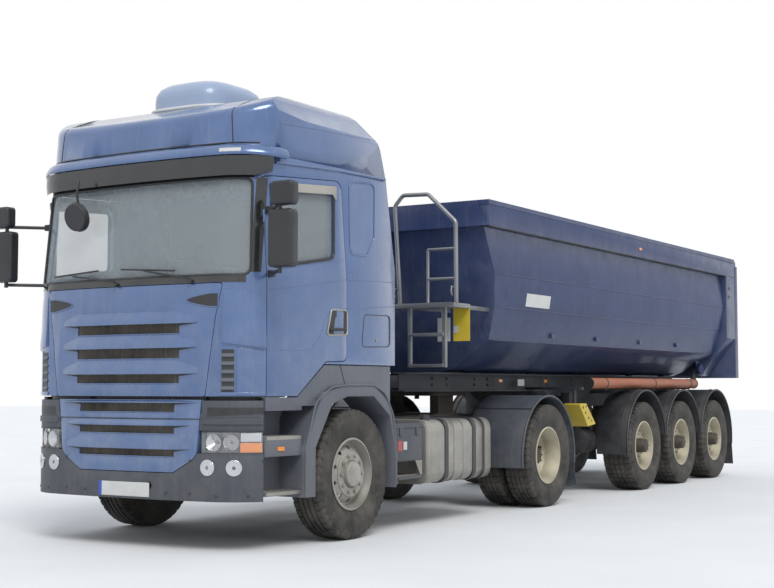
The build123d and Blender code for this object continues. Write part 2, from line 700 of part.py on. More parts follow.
def roof_form(inset=0):
    """The high roof's form: leaning front, cambered top and rounded sides, one profile each."""
    foot = CAB_TOP - inset
    rise = CAB_TOP + ROOF_H + 100
    front = CAB_FRONT + SCREEN_LEAN
    rear = CAB_REAR_TOP_Y - inset
    lean = ROOF_LEAN / ROOF_H
    plans = [Plane.XY.offset(z) * plan(-inset, SCREEN_LEAN + lean * (z - CAB_TOP), CAB_REAR)
             for z in (foot, rise)]
    side = outline((front - 300, foot - 10), (front - 300, CAB_TOP + 205 - inset),
                   (front + 420, CAB_TOP + 500 - inset, 500), (100 - inset, CAB_TOP + ROOF_H - inset, 330),
                   (rear - 65, CAB_TOP + 280 - inset, 250), (rear, CAB_TOP), (rear, foot - 10))
    wide = CAB_HALF - 2 - inset
    half = [(wide, foot - 10), (wide, CAB_TOP), (wide - 23, CAB_TOP + 300 - inset, 100),
            (wide - 178, CAB_TOP + ROOF_H - 70 - inset, 180)]
    crown = (0, CAB_TOP + ROOF_H + 10 - inset)
    front_view = outline(*half, crown, *[(-p[0], *p[1:]) for p in reversed(half)])
    return loft(plans, ruled=True) & across(side, -2000, 2000) & along(front_view, -2000, 1000)


def cab_roof():
    """The high roof, hollow, its front edge rounded."""
    outer = roof_form()
    rear = CAB_SIDE_START_Y + 70
    brow = [e for e in outer.edges() if CAB_TOP + 250 < e.center().Z < CAB_TOP + 395 and e.center().Y < rear]
    return fillet(brow, ROOF_BROW_R) - roof_form(CAB_WALL)


def sun_visor():
    lead = VISOR_REACH - 40
    ring = upward(plan(40, -lead), 2850, 3020) - upward(plan(28, -lead), 2840, 3030)
    visor = ring & block(-1300, 1300, -2000, VISOR_REAR_Y, 2800, 3100)
    reach = upward(plan(34, -lead), 2990, 3010) - cab_form(-SEAT_GAP)
    for x in (-800, 0, 800):
        visor += reach & block(x - 15, x + 15, -1700, -1200, 2980, 3020)
    return visor


def roof_cooler():
    # (height, half width, front, rear, corner radius)
    levels = [(CAB_TOP + 500, 440, -860, 10, 150), (CAB_TOP + 660, 480, -880, 60, 190),
              (CAB_TOP + 745, 440, -820, 20, 190), (CAB_TOP + COOLER_RISE, 330, -680, -120, 160)]
    faces = [Plane.XY.offset(z) * rounded_plan(h, f, r, c) for z, h, f, r, c in levels]
    return loft(faces, ruled=True) - roof_form(-SEAT_GAP)


def dashboard():
    """The dashboard between the doors, with the steering wheel on its column."""
    half = CAB_HALF - CAB_TAPER - CAB_WALL - DASH_END_GAP
    board = across(outline((-1400, 1700), (-900, 1700), (-880, 2050), (-960, 2140), (-1200, 2120),
                           (-1400, 2070)), -half, half)
    centre = (STEERING_X, STEERING_Y, STEERING_Z)
    face = Plane(origin=centre, z_dir=(0, 0.5, 0.85))
    wheel = face * Torus(220, 17)
    column = rod((STEERING_X, STEERING_Y - 250, STEERING_Z - 360),
                 (STEERING_X, STEERING_Y - 6, STEERING_Z - 10), 30)
    spokes = face * Box(420, 30, 20)
    board = board & cab_form(CAB_WALL + 1, FRONT_WALL + 1, FLOOR_T)
    return board + wheel + column + spokes


def seats():
    """Two seats and the bunk behind them."""
    floor = CAB_REAR_BOTTOM + FLOOR_T
    seat = block(300, 820, -560, -60, floor, 1850)
    seat += across(outline((-120, 1850), (20, 1850), (90, 2560, 40), (-20, 2580, 40)), 310, 810)
    bunk = block(-CAB_HALF + CAB_WALL + 5, CAB_HALF - CAB_WALL - 5, 110, CAB_REAR - CAB_WALL - 5, floor, 1900)
    return both(seat) + bunk


MIRROR_FOOT_Y = -1124
MIRROR_FOOT_HALF = 20
MIRROR_CORNER_R = 35
MIRROR_EDGE_R = 25


def mirror_set():
    """The left wide-angle and main mirrors on their two arms."""
    r = MIRROR_CORNER_R
    main = along(outline((1340, 2130, r), (1560, 2130, r), (1560, 2560, r), (1340, 2560, r)), -1400, -1310)
    wide = along(outline((1370, 2590, r), (1570, 2590, r), (1570, 2770, r), (1370, 2770, r)), -1410, -1320)
    main = fillet(main.faces().sort_by(Axis.Y)[0].edges(), MIRROR_EDGE_R)
    wide = fillet(wide.faces().sort_by(Axis.Y)[0].edges(), MIRROR_EDGE_R)
    post = rod((1430, -1355, 2085), (1430, -1355, 2620), 16)
    feet = Part()
    for z in (2108, 2600):
        foot = block(1140, 1205, MIRROR_FOOT_Y - MIRROR_FOOT_HALF, MIRROR_FOOT_Y + MIRROR_FOOT_HALF,
                     z - 25, z + 25)
        feet += foot - cab_form(-SEAT_GAP)
        feet += rod((1195, MIRROR_FOOT_Y, z), (1430, -1355, z), 14)
    return main + wide + post + feet


# Fixed front of the tractor, below the cab

def front_ring(thick, z0, z1, keep):
    """A curved band that follows the cab's outline, cut to the kept block."""
    ring = upward(plan(), z0, z1) - upward(plan(-thick), z0 - 1, z1 + 1)
    return ring & keep


def grille_outline():
    return outline((-480, GRILLE_BOTTOM, 60), (480, GRILLE_BOTTOM, 60), (GRILLE_HALF - 40, 720, 120),
                   (GRILLE_HALF, GRILLE_TOP), (-GRILLE_HALF, GRILLE_TOP), (40 - GRILLE_HALF, 720, 120))


def lower_grille():
    ring = front_ring(GRILLE_T, GRILLE_BOTTOM, GRILLE_TOP, block(-1000, 1000, -2000, -1000, 0, 3000))
    solid = ring & along(grille_outline(), -2000, -1000)
    for z in (640, 860):
        solid += both(block(400, 440, CAB_FRONT + GRILLE_T - 12, FRAME_FRONT - 60 - SEAT_GAP, z, z + 20))
    for low, top in SLOTS_LOWER:
        solid -= block(-SLOT_HALF + 40, SLOT_HALF - 40, -2000, CAB_FRONT + 32, low, top)
    return solid


def bumper():
    keep = block(-1300, 1300, -2000, BUMPER_REAR_Y, 0, 3000)
    band = front_ring(BUMPER_T, BUMPER_BOTTOM, BUMPER_TOP, keep)
    hollow = offset(grille_outline(), SHUT_GAP)
    hollow += Pos(0, GRILLE_TOP) * Rectangle(2 * GRILLE_HALF + 2 * SHUT_GAP, 200)
    band -= along(hollow, -2000, -1000)
    corner = front_ring(BUMPER_T, LAMP_TOP + SHUT_GAP, CORNER_TOP, keep) - along(hollow, -2000, -1000)
    # What carries the corner panels, behind the headlamps
    carrier = block(760, CAB_HALF - 120, CAB_FRONT + BUMPER_T, BUMPER_REAR_Y - 16, BUMPER_TOP - 20, LAMP_TOP + 40)
    carrier = both(carrier & upward(plan(-BUMPER_T + 15), 0, CAB_BELT))
    back = block(-GRILLE_HALF, GRILLE_HALF, FRAME_FRONT - 60, FRAME_FRONT, 420, 900)
    # Brackets with the pins of the cab's tilting pivot
    x0, x1 = PIVOT_ARM_X - TRAVEL_GAP - PIVOT_ARM_T, PIVOT_ARM_X - TRAVEL_GAP
    pivot = block(x0, x1, PIVOT_Y - PIVOT_BOSS_R, PIVOT_Y + 50, 890, PIVOT_Z)
    pivot += rod((x0, PIVOT_Y, PIVOT_Z), (x1, PIVOT_Y, PIVOT_Z), PIVOT_BOSS_R)
    pivot += rod((x0, PIVOT_Y, PIVOT_Z), (PIVOT_ARM_X + PIVOT_ARM_T, PIVOT_Y, PIVOT_Z), PIVOT_R)
    solid = band + corner + carrier + back + both(pivot)
    # Towing socket through the front beam, behind a wider hole in the bumper
    solid -= rod((TOW_X, -2000, TOW_Z), (TOW_X, FRAME_FRONT - 60, TOW_Z), TOW_R + 10)
    return solid - rod((TOW_X, -2000, TOW_Z), (TOW_X, -1000, TOW_Z), TOW_R)


def headlamps():
    keep = block(-1300, 1300, -2000, BUMPER_REAR_Y - SHUT_GAP, 0, 3000)
    lamp = front_ring(BUMPER_T - 20, BUMPER_TOP + SEAT_GAP, LAMP_TOP, keep)
    return lamp - block(-GRILLE_HALF - SHUT_GAP, GRILLE_HALF + SHUT_GAP, -2000, 0, 0, 3000)


def arch_lines(front, rear, top, bottom):
    """Half-octagon arch over the front wheel, as (y, z) points."""
    return [(front, bottom), (front, AXLE_Z + 240), (front + 230, top - 60, 200), (-150, top, 300),
            (250, top, 300), (rear - 90, top - 170, 200), (rear, AXLE_Z + 150), (rear, bottom)]


def front_arches():
    """Grey wheel arches with the boarding steps in front."""
    outer = arch_lines(ARCH_FRONT_OUT, ARCH_REAR_OUT, ARCH_TOP_OUT, ARCH_BOTTOM)
    inner = arch_lines(ARCH_FRONT_IN, ARCH_REAR_IN, ARCH_TOP_IN, ARCH_BOTTOM - 50)
    wall = across(outline(*[p[:2] for p in outer]), ARCH_INNER_X, CAB_HALF + 8)
    wall -= across(outline(*[p[:2] for p in inner]), ARCH_INNER_X - 10, CAB_HALF + 50)
    top = CAB_REAR_BOTTOM - 10
    panel = across(outline((ARCH_FRONT_OUT, 1100), (ARCH_FRONT_OUT, CAB_BOTTOM - 10),
                           (CAB_STEP_Y + 4, CAB_BOTTOM - 10), (CAB_ARCH_Y + 6, top), (520, top), (520, 1110)),
                   CAB_HALF - CAB_TAPER - 10, CAB_HALF)
    panel -= across(outline(*[p[:2] for p in outer]), 0, 2000)
    sill = block(CAB_HALF - CAB_TAPER - 40, CAB_HALF, DOOR_FRONT, ARCH_FRONT_OUT, SIDE_PANEL_BOTTOM, CAB_BOTTOM - 10)
    inner = CAB_HALF - STEP_DEPTH
    well = block(inner, inner + 12, DOOR_FRONT, ARCH_FRONT_OUT, 405, CAB_BOTTOM - 10)
    for low, top in STEP_LEVELS:
        well += block(inner, CAB_HALF, DOOR_FRONT, ARCH_FRONT_OUT, low, top)
    bar = block(CAB_HALF - CAB_TAPER - 30, CAB_HALF, DOOR_FRONT, ARCH_FRONT_OUT, 719, 835)
    stay = block(RAIL_X, ARCH_INNER_X + 20, -700, -640, 780, 840)
    steps = (panel + sill + well + bar) & upward(plan(), 0, CAB_BELT)
    return both(wall + steps + stay)


# Trailer

def trailer_rail():
    """One I-beam rail: deep behind, shallow in the neck, cut back under the tipped body."""
    top = T_RAIL_TOP
    neck = COUPLING_Z + SEAT_GAP
    drop = T_RAIL_BOTTOM
    web = outline((NECK_FRONT, neck), (NECK_REAR, neck), (NECK_DROP_END, drop), (T_FRAME_REAR, drop),
                  (TIP_Y - 40, top), (NECK_FRONT, top))
    rail = across(web, T_RAIL_X - T_WEB_T / 2, T_RAIL_X + T_WEB_T / 2)
    x0, x1 = T_RAIL_X - T_FLANGE / 2, T_RAIL_X + T_FLANGE / 2
    rail += block(x0, x1, NECK_FRONT, TIP_Y - 40, top - T_FLANGE_T, top)
    rail += across(outline((NECK_FRONT, neck), (NECK_REAR, neck), (NECK_DROP_END, drop), (T_FRAME_REAR, drop),
                           (T_FRAME_REAR, drop + T_FLANGE_T), (NECK_DROP_END + 8, drop + T_FLANGE_T),
                           (NECK_REAR + 8, neck + T_FLANGE_T), (NECK_FRONT, neck + T_FLANGE_T)), x0, x1)
    # The seam between the neck and the deep part
    return rail - block(0, 2 * T_RAIL_X, NECK_REAR - SEAT_GAP, NECK_REAR, 0, 2 * T_RAIL_TOP)


def trailer_frame():
    frame = both(trailer_rail())
    inner = T_RAIL_X - T_WEB_T / 2 - SEAT_GAP
    for y in [NECK_FRONT, RAM_Y + RAM_BARREL_R + 125] + T_CROSS_PLACES:
        frame += block(-inner, inner, y, y + 60, T_RAIL_TOP - 150, T_RAIL_TOP - 30)
    seat = COUPLING_Z + SEAT_GAP
    skid = T_RAIL_X - T_FLANGE / 2 - SEAT_GAP
    frame += block(-skid, skid, COUPLING_Y - 500, COUPLING_Y + 500, seat, seat + SKID_T)
    frame += rod((0, COUPLING_Y, COUPLING_Z - KINGPIN_DROP), (0, COUPLING_Y, COUPLING_Z + SKID_T), KINGPIN_R)
    # Ears of the tipping hinge, outside the rails
    x0, x1 = TIP_EAR_X, TIP_EAR_X + TIP_EAR_T
    foot = T_RAIL_BOTTOM + 216
    ear = rod((x0, TIP_Y, TIP_Z), (x1, TIP_Y, TIP_Z), TIP_BOSS_R)
    ear += across(outline((TIP_Y - 300, foot), (TIP_Y - 165, foot), (TIP_Y + 49, TIP_Z - 50),
                          (TIP_Y - 50, TIP_Z + 49)), x0, x1)
    ear += block(T_RAIL_X + T_WEB_T / 2 + SEAT_GAP, x1, TIP_Y - 300, TIP_Y - 165, foot, foot + TIP_EAR_T)
    ear -= rod((x0 - 50, TIP_Y, TIP_Z), (x1 + 50, TIP_Y, TIP_Z), TIP_PIN_R + RUNNING)
    frame += both(ear)
    # Pads that the lowered body rests on
    for y in (3300, 4800, 6300, 7800, 9000):
        frame += both(block(430, 475, y, y + 120, T_RAIL_TOP, BODY_BOTTOM - SEAT_GAP))
    # Trunnion ears of the tipping cylinder, between two cross-members
    for x in (RAM_BARREL_R + 10, -RAM_BARREL_R - 40):
        frame += across(outline((RAM_Y - 90, RAM_BASE_Z - 60), (RAM_Y + 90, RAM_BASE_Z - 60),
                                (RAM_Y + 90, T_RAIL_TOP - 40), (RAM_Y - 90, T_RAIL_TOP - 40)), x, x + 30)
    frame += both(block(RAM_BARREL_R + 10, inner, RAM_Y - 30, RAM_Y + 30, COUPLING_Z + 20, COUPLING_Z + 100))
    for side in (-1, 1):
        frame -= rod((side * 100, RAM_Y, RAM_BASE_Z), (side * 300, RAM_Y, RAM_BASE_Z), RAM_PIN_R + RUNNING)
    # Hangers for the trailing arms
    for y in TRAILER_AXLES:
        frame += both(block(T_RAIL_X - 60, T_RAIL_X + 60, y - 520, y - 440, 640, T_RAIL_BOTTOM - SEAT_GAP))
    # Rear under-run beam and its arms
    frame += block(-1150, 1150, BEAM_Y, BEAM_Y + 100, 480, 600)
    top = T_RAIL_BOTTOM - SEAT_GAP
    frame += both(across(outline((T_FRAME_REAR - 50, top), (T_FRAME_REAR, top), (BEAM_Y + 50, 600),
                                 (BEAM_Y + 50, 480), (BEAM_Y, 480)), T_RAIL_X - 30, T_RAIL_X + 30))
    return frame + landing_legs() + stowage_arms()


def trailer_axles():
    beams = Part()
    for y in TRAILER_AXLES:
        x_in = TRAILER_WHEEL_X - 150
        beam = turned([(-TRAILER_WHEEL_X - 150, 0), (-TRAILER_WHEEL_X - 150, SPINDLE_R), (-x_in, SPINDLE_R),
                       (-x_in, 63), (x_in, 63), (x_in, SPINDLE_R), (TRAILER_WHEEL_X + 150, SPINDLE_R),
                       (TRAILER_WHEEL_X + 150, 0)], 0, y, AXLE_Z)
        seat = y - 440 + SEAT_GAP
        arm = across(outline((seat, 670), (seat, 740), (y + 60, 600), (y + 420, 600), (y + 420, 560),
                             (y, 460)), T_RAIL_X - 45, T_RAIL_X + 45)
        arm += rod((T_RAIL_X, y + 330, 590), (T_RAIL_X, y + 330, T_RAIL_BOTTOM - SEAT_GAP), 115)
        beam += both(arm)
        beams += beam
    return beams


def trailer_guards():
    guards = Part()
    x0 = TRAILER_WHEEL_X - TRAILER_TYRE_W / 2
    last = len(TRAILER_AXLES) - 1
    for n, y in enumerate(TRAILER_AXLES):
        first_angle, last_angle = (8 if n < last else -10), (172 if n else 190)
        guard = arc_guard(y, AXLE_Z + 27, TRAILER_AXLE_PITCH / 2 - 5, first_angle, last_angle, x0,
                          TRAILER_GUARD_X)
        guard += block(T_RAIL_X + T_WEB_T / 2, x0 + 40, y - 25, y + 25, 1165, 1206)
        if n == last:
            guard += across(outline((y + 640, 450), (y + 652, 450), (y + 700, 160), (y + 688, 160)), x0 + 10,
                            TRAILER_GUARD_X - 5)
        guards += guard
    return both(guards)


def landing_legs():
    """The raised landing legs, one under each rail, with their cross brace."""
    leg = block(T_RAIL_X + 80, T_RAIL_X + 190, 5420, 5530, 620, 1180)
    leg += block(T_RAIL_X + 95, T_RAIL_X + 175, 5435, 5515, 440, 640)
    leg += block(T_RAIL_X + 50, T_RAIL_X + 220, 5390, 5560, 415, 440)
    leg += block(T_RAIL_X + T_WEB_T / 2 + SEAT_GAP, T_RAIL_X + 100, 5440, 5510, 1060, 1140)
    return both(leg) + rod((-T_RAIL_X - 100, 5475, 800), (T_RAIL_X + 100, 5475, 800), 25)


def stowage():
    """The long stowage tube and the wheel chocks on the left side."""
    tube = rod((TUBE_X, 5170, TUBE_Z), (TUBE_X, 8700, TUBE_Z), TUBE_R)
    chock = across(outline((4560, CHOCK_TOP - 10), (4600, CHOCK_TOP), (4740, CHOCK_TOP),
                           (4990, CHOCK_TOP - 230), (4780, CHOCK_TOP - 250)), 1010, 1200)
    return tube + chock


def stowage_arms():
    arms = Part()
    web = T_RAIL_X + T_WEB_T / 2 + SEAT_GAP
    for y in (5600, 7155, 8465):
        arms += block(web, TUBE_X + 30, y - 20, y + 20, TUBE_Z - TUBE_R - 15, TUBE_Z - TUBE_R - SEAT_GAP)
    low = COUPLING_Z + T_FLANGE_T + 2 * SEAT_GAP
    arms += block(web, 1190, 4640, 4700, low, low + 30)
    arms += block(1080, 1100, 4640, 4700, CHOCK_TOP + SEAT_GAP, low + 5)
    return arms


# Tipping body

def front_y(z):
    """Where the body's sloping front wall stands at a height."""
    return BODY_FRONT_TOP_Y + 30 + (RIM_BOTTOM - z) * FRONT_SLOPE


def body_section(inset=0):
    pts = [(x - inset, z) for x, z in SIDE_FOLDS] + [(BODY_FLOOR_HALF - inset * 0.5, BODY_BOTTOM + inset)]
    pts[0] = (SIDE_FOLDS[0][0] - inset, RIM_TOP + (50 if inset else 0))
    left = [(-x, z) for x, z in reversed(pts)]
    return outline(*pts, *left)


def gate_rod(x0, x1, radius):
    """A round form on the tailgate's hinge axis."""
    return rod((x0, GATE_HINGE_Y, GATE_HINGE_Z), (x1, GATE_HINGE_Y, GATE_HINGE_Z), radius)


def tipper_body():
    """The folded steel body: rim box, faceted sides, sloping front wall and rear posts."""
    def behind_front(cut):
        line = outline((front_y(RIM_TOP + 50) + cut, RIM_TOP + 50), (BODY_REAR + 100, RIM_TOP + 50),
                       (BODY_REAR + 100, BODY_BOTTOM), (front_y(BODY_BOTTOM) + cut, BODY_BOTTOM))
        return across(line, -2000, 2000)
    outer = along(body_section(), 2000, BODY_REAR) & behind_front(0)
    inner = along(body_section(BODY_WALL), 2000, BODY_REAR + 50) & behind_front(BODY_WALL)
    rim = block(-BODY_HALF, BODY_HALF, BODY_FRONT_TOP_Y - 20, BODY_REAR, RIM_BOTTOM, RIM_TOP)
    post = along(outline((-BODY_HALF, RIM_TOP), (BODY_HALF, RIM_TOP), (BODY_HALF, POST_KINK_Z),
                         (POST_FOOT_HALF, 1400), (-POST_FOOT_HALF, 1400), (-BODY_HALF, POST_KINK_Z)),
                 POST_FRONT, BODY_REAR)
    # Hinge brackets with their pins, outboard of the trailer's ears
    x0 = TIP_EAR_X + TIP_EAR_T + TRAVEL_GAP
    lug = across(outline((TIP_Y - 150, TIP_Z + 210), (TIP_Y - 66, TIP_Z - 20), (TIP_Y + 66, TIP_Z - 20),
                         (TIP_Y + 110, TIP_Z + 210)), x0, x0 + 30)
    lug += rod((x0, TIP_Y, TIP_Z), (x0 + 60, TIP_Y, TIP_Z), TIP_BOSS_R)
    lug += rod((TIP_EAR_X - 4, TIP_Y, TIP_Z), (x0 + 5, TIP_Y, TIP_Z), TIP_PIN_R)
    body = outer + rim + post + both(lug)
    # Ears of the tailgate hinge
    x1 = GATE_EAR_X + GATE_EAR_T
    ear = gate_rod(GATE_EAR_X, x1, GATE_EAR_R)
    low, high = GATE_HINGE_Z - GATE_EAR_R, GATE_HINGE_Z + GATE_EAR_R
    ear += block(GATE_EAR_X, x1, BODY_REAR - 10, GATE_HINGE_Y, low, high)
    ear -= gate_rod(GATE_EAR_X - 50, x1 + 50, GATE_PIN_R + RUNNING)
    body -= inner
    body += both(ear)
    # Cheeks for the tipping cylinder's eye
    wall = front_y(RAM_EYE_Z)
    cheek = outline((RAM_Y - 60, RAM_EYE_Z - 60), (RAM_Y - 60, RAM_EYE_Z + 60), (wall + 10, RAM_EYE_Z + 90),
                    (wall + 40, RAM_EYE_Z - 120))
    body += both(across(cheek, CHEEK_X, CHEEK_X + CHEEK_T))
    return body


def tailgate():
    """The top-hung tailgate with its hinge arms and pins."""
    inner = BODY_REAR + SHUT_GAP
    plate = along(outline((-BODY_HALF, GATE_TOP), (BODY_HALF, GATE_TOP), (BODY_HALF, TAILGATE_BOTTOM),
                          (-BODY_HALF, TAILGATE_BOTTOM)), inner, TAILGATE_REAR)
    # Pockets between the ribs on the outer side
    wide = 2 * BODY_HALF / GATE_COLUMNS
    high = (GATE_TOP - TAILGATE_BOTTOM) / GATE_ROWS
    for column in range(GATE_COLUMNS):
        for row in range(GATE_ROWS):
            x = -BODY_HALF + column * wide
            z = TAILGATE_BOTTOM + row * high
            rib = GATE_RIB / 2
            plate -= block(x + rib, x + wide - rib, inner + GATE_SKIN, TAILGATE_REAR + 1,
                           z + rib, z + high - rib)
    x0 = GATE_EAR_X + GATE_EAR_T + TRAVEL_GAP
    y0, y1 = GATE_HINGE_Y - GATE_EAR_R, GATE_HINGE_Y + GATE_EAR_R
    arm = block(x0, x0 + GATE_EAR_T, y0, y1, GATE_TOP - 5, GATE_HINGE_Z)
    arm += gate_rod(x0, x0 + GATE_EAR_T, GATE_EAR_R)
    arm += gate_rod(GATE_EAR_X - 10, x0 + 5, GATE_PIN_R)
    return plate + both(arm)


# Tipping cylinder

def ram_stages():
    """Barrel and stages, each a tube that slides in the one around it."""
    pieces = []
    bottom = RAM_BASE_Z + 40
    top = RAM_EYE_Z - 90
    for n in range(RAM_STAGES + 1):
        outer = RAM_BARREL_R - n * RAM_WALL - (RUNNING if n else 0)
        tube = rod((0, RAM_Y, bottom + 20 * n), (0, RAM_Y, top - 20 * (RAM_STAGES - n)), outer)
        if n < RAM_STAGES:
            bore = RAM_BARREL_R - (n + 1) * RAM_WALL
            tube -= rod((0, RAM_Y, bottom + 20 * n + 15), (0, RAM_Y, top + 100), bore)
        if n == 0:
            tube += block(-60, 60, RAM_Y - 60, RAM_Y + 60, RAM_BASE_Z - 50, bottom)
            reach = RAM_BARREL_R + 40
            tube += rod((-reach, RAM_Y, RAM_BASE_Z), (reach, RAM_Y, RAM_BASE_Z), RAM_PIN_R)
        if n == RAM_STAGES:
            tube += rod((-40, RAM_Y, RAM_EYE_Z), (40, RAM_Y, RAM_EYE_Z), 60)
            tube += block(-40, 40, RAM_Y - 35, RAM_Y + 35, top - 5, RAM_EYE_Z)
            tube -= rod((-80, RAM_Y, RAM_EYE_Z), (80, RAM_Y, RAM_EYE_Z), 32)
        pieces.append(tube)
    return pieces


def access_platform():
    """The step plate, handrail and folding ladder on the body's front wall."""
    plate = block(600, 1236, 1640, 1960, 1990, 2030)
    reach = outline((1960, 1990), (front_y(1990) - SEAT_GAP, 1990), (front_y(2030) - SEAT_GAP, 2030),
                    (1960, 2030))
    plate += across(reach, 640, 680) + across(reach, 1080, 1120)
    bends = [(620, 2030), (560, 2980), (650, 3080), (930, 3070), (1226, 2790), (1230, 2030)]
    path = FilletPolyline(*[(x, RAILING_Y, z) for x, z in bends], radius=60)
    rail = sweep(Plane(origin=path @ 0, z_dir=path % 0) * Circle(20), path=path)
    bars = rod((925, RAILING_Y, 2030), (925, RAILING_Y, 2540), 14)
    for z in (2260, 2540):
        bars += rod((925, RAILING_Y, z), (1228, RAILING_Y, z), 14)
    ladder = Part()
    for x in (728, 1105):
        ladder += block(x - 18, x + 18, RAILING_Y - 18, RAILING_Y + 18, 1430, 1990)
    for z in (1447, 1738):
        ladder += block(728, 1105, RAILING_Y - 40, RAILING_Y + 40, z - 15, z + 15)
    return plate + rail + bars + ladder


def main():
    os.makedirs("parts", exist_ok=True)
    save_wheels()
    left_knuckle = knuckle()
    save("knuckle_left", left_knuckle)
    save("knuckle_right", right(left_knuckle))
    save("tie_rod", tie_rod())
    save("tractor_frame", tractor_frame())
    save("tractor_axles", tractor_axles())
    save("engine", engine())
    save("fifth_wheel", fifth_wheel())
    save("fuel_tanks", side_tanks())
    save("side_boxes", side_boxes())
    save("drive_mudguards", drive_guards())
    shell, door, glass, flap = cab_parts()
    save("cab_shell", shell)
    save("door_left", door)
    save("door_right", right(door))
    save("door_glass_left", glass)
    save("door_glass_right", right(glass))
    save("front_flap", flap)
    save("windscreen", windscreen())
    save("cab_roof", cab_roof())
    save("sun_visor", sun_visor())
    save("roof_cooler", roof_cooler())
    save("dashboard", dashboard())
    save("seats", seats())
    mirrors = mirror_set()
    save("mirrors_left", mirrors)
    save("mirrors_right", right(mirrors))
    save("lower_grille", lower_grille())
    save("bumper", bumper())
    save("headlamps", headlamps())
    save("front_arches", front_arches())
    save("trailer_frame", trailer_frame())
    save("trailer_axles", trailer_axles())
    save("trailer_mudguards", trailer_guards())
    save("stowage", stowage())
    save("tipper_body", tipper_body())
    save("tailgate", tailgate())
    save("access_platform", access_platform())
    for n, piece in enumerate(ram_stages()):
        save("ram_barrel" if n == 0 else f"ram_stage_{n}", piece)


main()
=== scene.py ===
import cmath
import math
from bisect import bisect

import bmesh
import bpy
from mathutils import Matrix, Vector
from mathutils.bvhtree import BVHTree


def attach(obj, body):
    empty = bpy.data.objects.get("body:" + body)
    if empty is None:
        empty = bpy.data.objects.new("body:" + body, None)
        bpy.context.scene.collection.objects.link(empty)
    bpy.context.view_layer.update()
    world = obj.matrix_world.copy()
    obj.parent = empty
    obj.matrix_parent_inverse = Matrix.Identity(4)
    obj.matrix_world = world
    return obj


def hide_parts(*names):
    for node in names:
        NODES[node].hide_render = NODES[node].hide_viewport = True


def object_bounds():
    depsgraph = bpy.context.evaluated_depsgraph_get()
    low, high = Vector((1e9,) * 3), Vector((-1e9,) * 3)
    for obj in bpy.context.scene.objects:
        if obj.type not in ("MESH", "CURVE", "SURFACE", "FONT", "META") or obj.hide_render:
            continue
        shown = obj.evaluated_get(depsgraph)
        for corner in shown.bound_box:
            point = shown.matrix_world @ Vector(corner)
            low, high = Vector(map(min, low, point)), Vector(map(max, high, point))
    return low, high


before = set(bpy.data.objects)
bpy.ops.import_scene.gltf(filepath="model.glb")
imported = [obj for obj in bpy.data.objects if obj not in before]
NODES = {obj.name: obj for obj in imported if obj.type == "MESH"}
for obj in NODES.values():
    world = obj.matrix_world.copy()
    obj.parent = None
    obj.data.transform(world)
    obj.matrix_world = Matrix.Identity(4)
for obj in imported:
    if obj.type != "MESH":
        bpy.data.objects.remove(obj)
CAD_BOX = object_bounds()

# Sizes are in millimetres: Y = 0 is the front axle, +Y runs to the rear, +X is the vehicle's left
MM = 0.001
MIDDLE = 4220
SIDES = (("left", 1), ("right", -1))

CAB_HALF = 1230
CAB_NOSE = -1440
CORNER_X, CORNER_Y = 820, -1392
TURN = (1021, -1312)
SIDE_X, SIDE_START = 1165, -1150
TAPER_START, CAB_REAR = -245, 600
BELT, CAB_TOP, SCREEN_LEAN = 2060, 3030, 110
COOLER_TOP = 3815
AXLE_Z = TYRE_R = 533
WHEELBASE, TRAILER_AXLES = 3700, (6500, 7810, 9120)
FRONT_X, DRIVE_OUTER_X, DRIVE_INNER_X, TRAILER_X = 1065, 1099, 754, 1036


def at(x, y, z):
    """A place in vehicle millimetres as a vector in the frame's metres."""
    return Vector((x, y - MIDDLE, z)) * MM


# Outline of the cab's front, seen from above

def arc_through(a, b, c, steps):
    """Points of the arc from a through b to c, worked out in the complex plane."""
    a, b, c = complex(*a), complex(*b), complex(*c)
    share = (c - a) / (b - a)
    centre = a + (b - a) * (share - abs(share) ** 2) / (2j * share.imag)
    turn = cmath.phase((c - centre) / (a - centre))
    points = [centre + (a - centre) * cmath.exp(1j * turn * n / steps) for n in range(steps + 1)]
    return [(p.real, p.imag) for p in points]


def lean(z):
    """How far the cab's front leans back at this height."""
    return SCREEN_LEAN * max(0, z - BELT) / (CAB_TOP - BELT)


def side_x(y, z=0):
    """Half width of the cab at this place: the sides lean in towards the front."""
    start = SIDE_START + lean(z)
    share = (TAPER_START - y) / (TAPER_START - start)
    return CAB_HALF - (CAB_HALF - SIDE_X) * min(1, max(0, share))


def front_outline():
    """(x, y) points from the middle of the front round the left corner and back along the side."""
    half = arc_through((-CORNER_X, CORNER_Y), (0, CAB_NOSE), (CORNER_X, CORNER_Y), 48)[24:]
    half[0] = (0, CAB_NOSE)
    half += arc_through((CORNER_X, CORNER_Y), TURN, (SIDE_X, SIDE_START), 16)[1:]
    return half + [(side_x(y), y) for y in (-850, -550, TAPER_START, CAB_REAR)]


# Arc length from the middle to each point of the outline, and to where the side begins
OUTLINE = front_outline()
REACH = [0]
for (x0, y0), (x1, y1) in zip(OUTLINE, OUTLINE[1:]):
    REACH.append(REACH[-1] + math.hypot(x1 - x0, y1 - y0))
SIDE_REACH = REACH[-5]


def along_front(s):
    """Point and outward direction at arc length s from the middle; s may be negative for the right half."""
    side = 1 if s >= 0 else -1
    s = min(abs(s), REACH[-1] - 1)
    n = bisect(REACH, s) - 1
    share = (s - REACH[n]) / (REACH[n + 1] - REACH[n])
    (x0, y0), (x1, y1) = OUTLINE[n], OUTLINE[n + 1]
    length = math.hypot(x1 - x0, y1 - y0)
    out = ((y1 - y0) / length, -(x1 - x0) / length)
    return side * (x0 + share * (x1 - x0)), y0 + share * (y1 - y0), side * out[0], out[1]


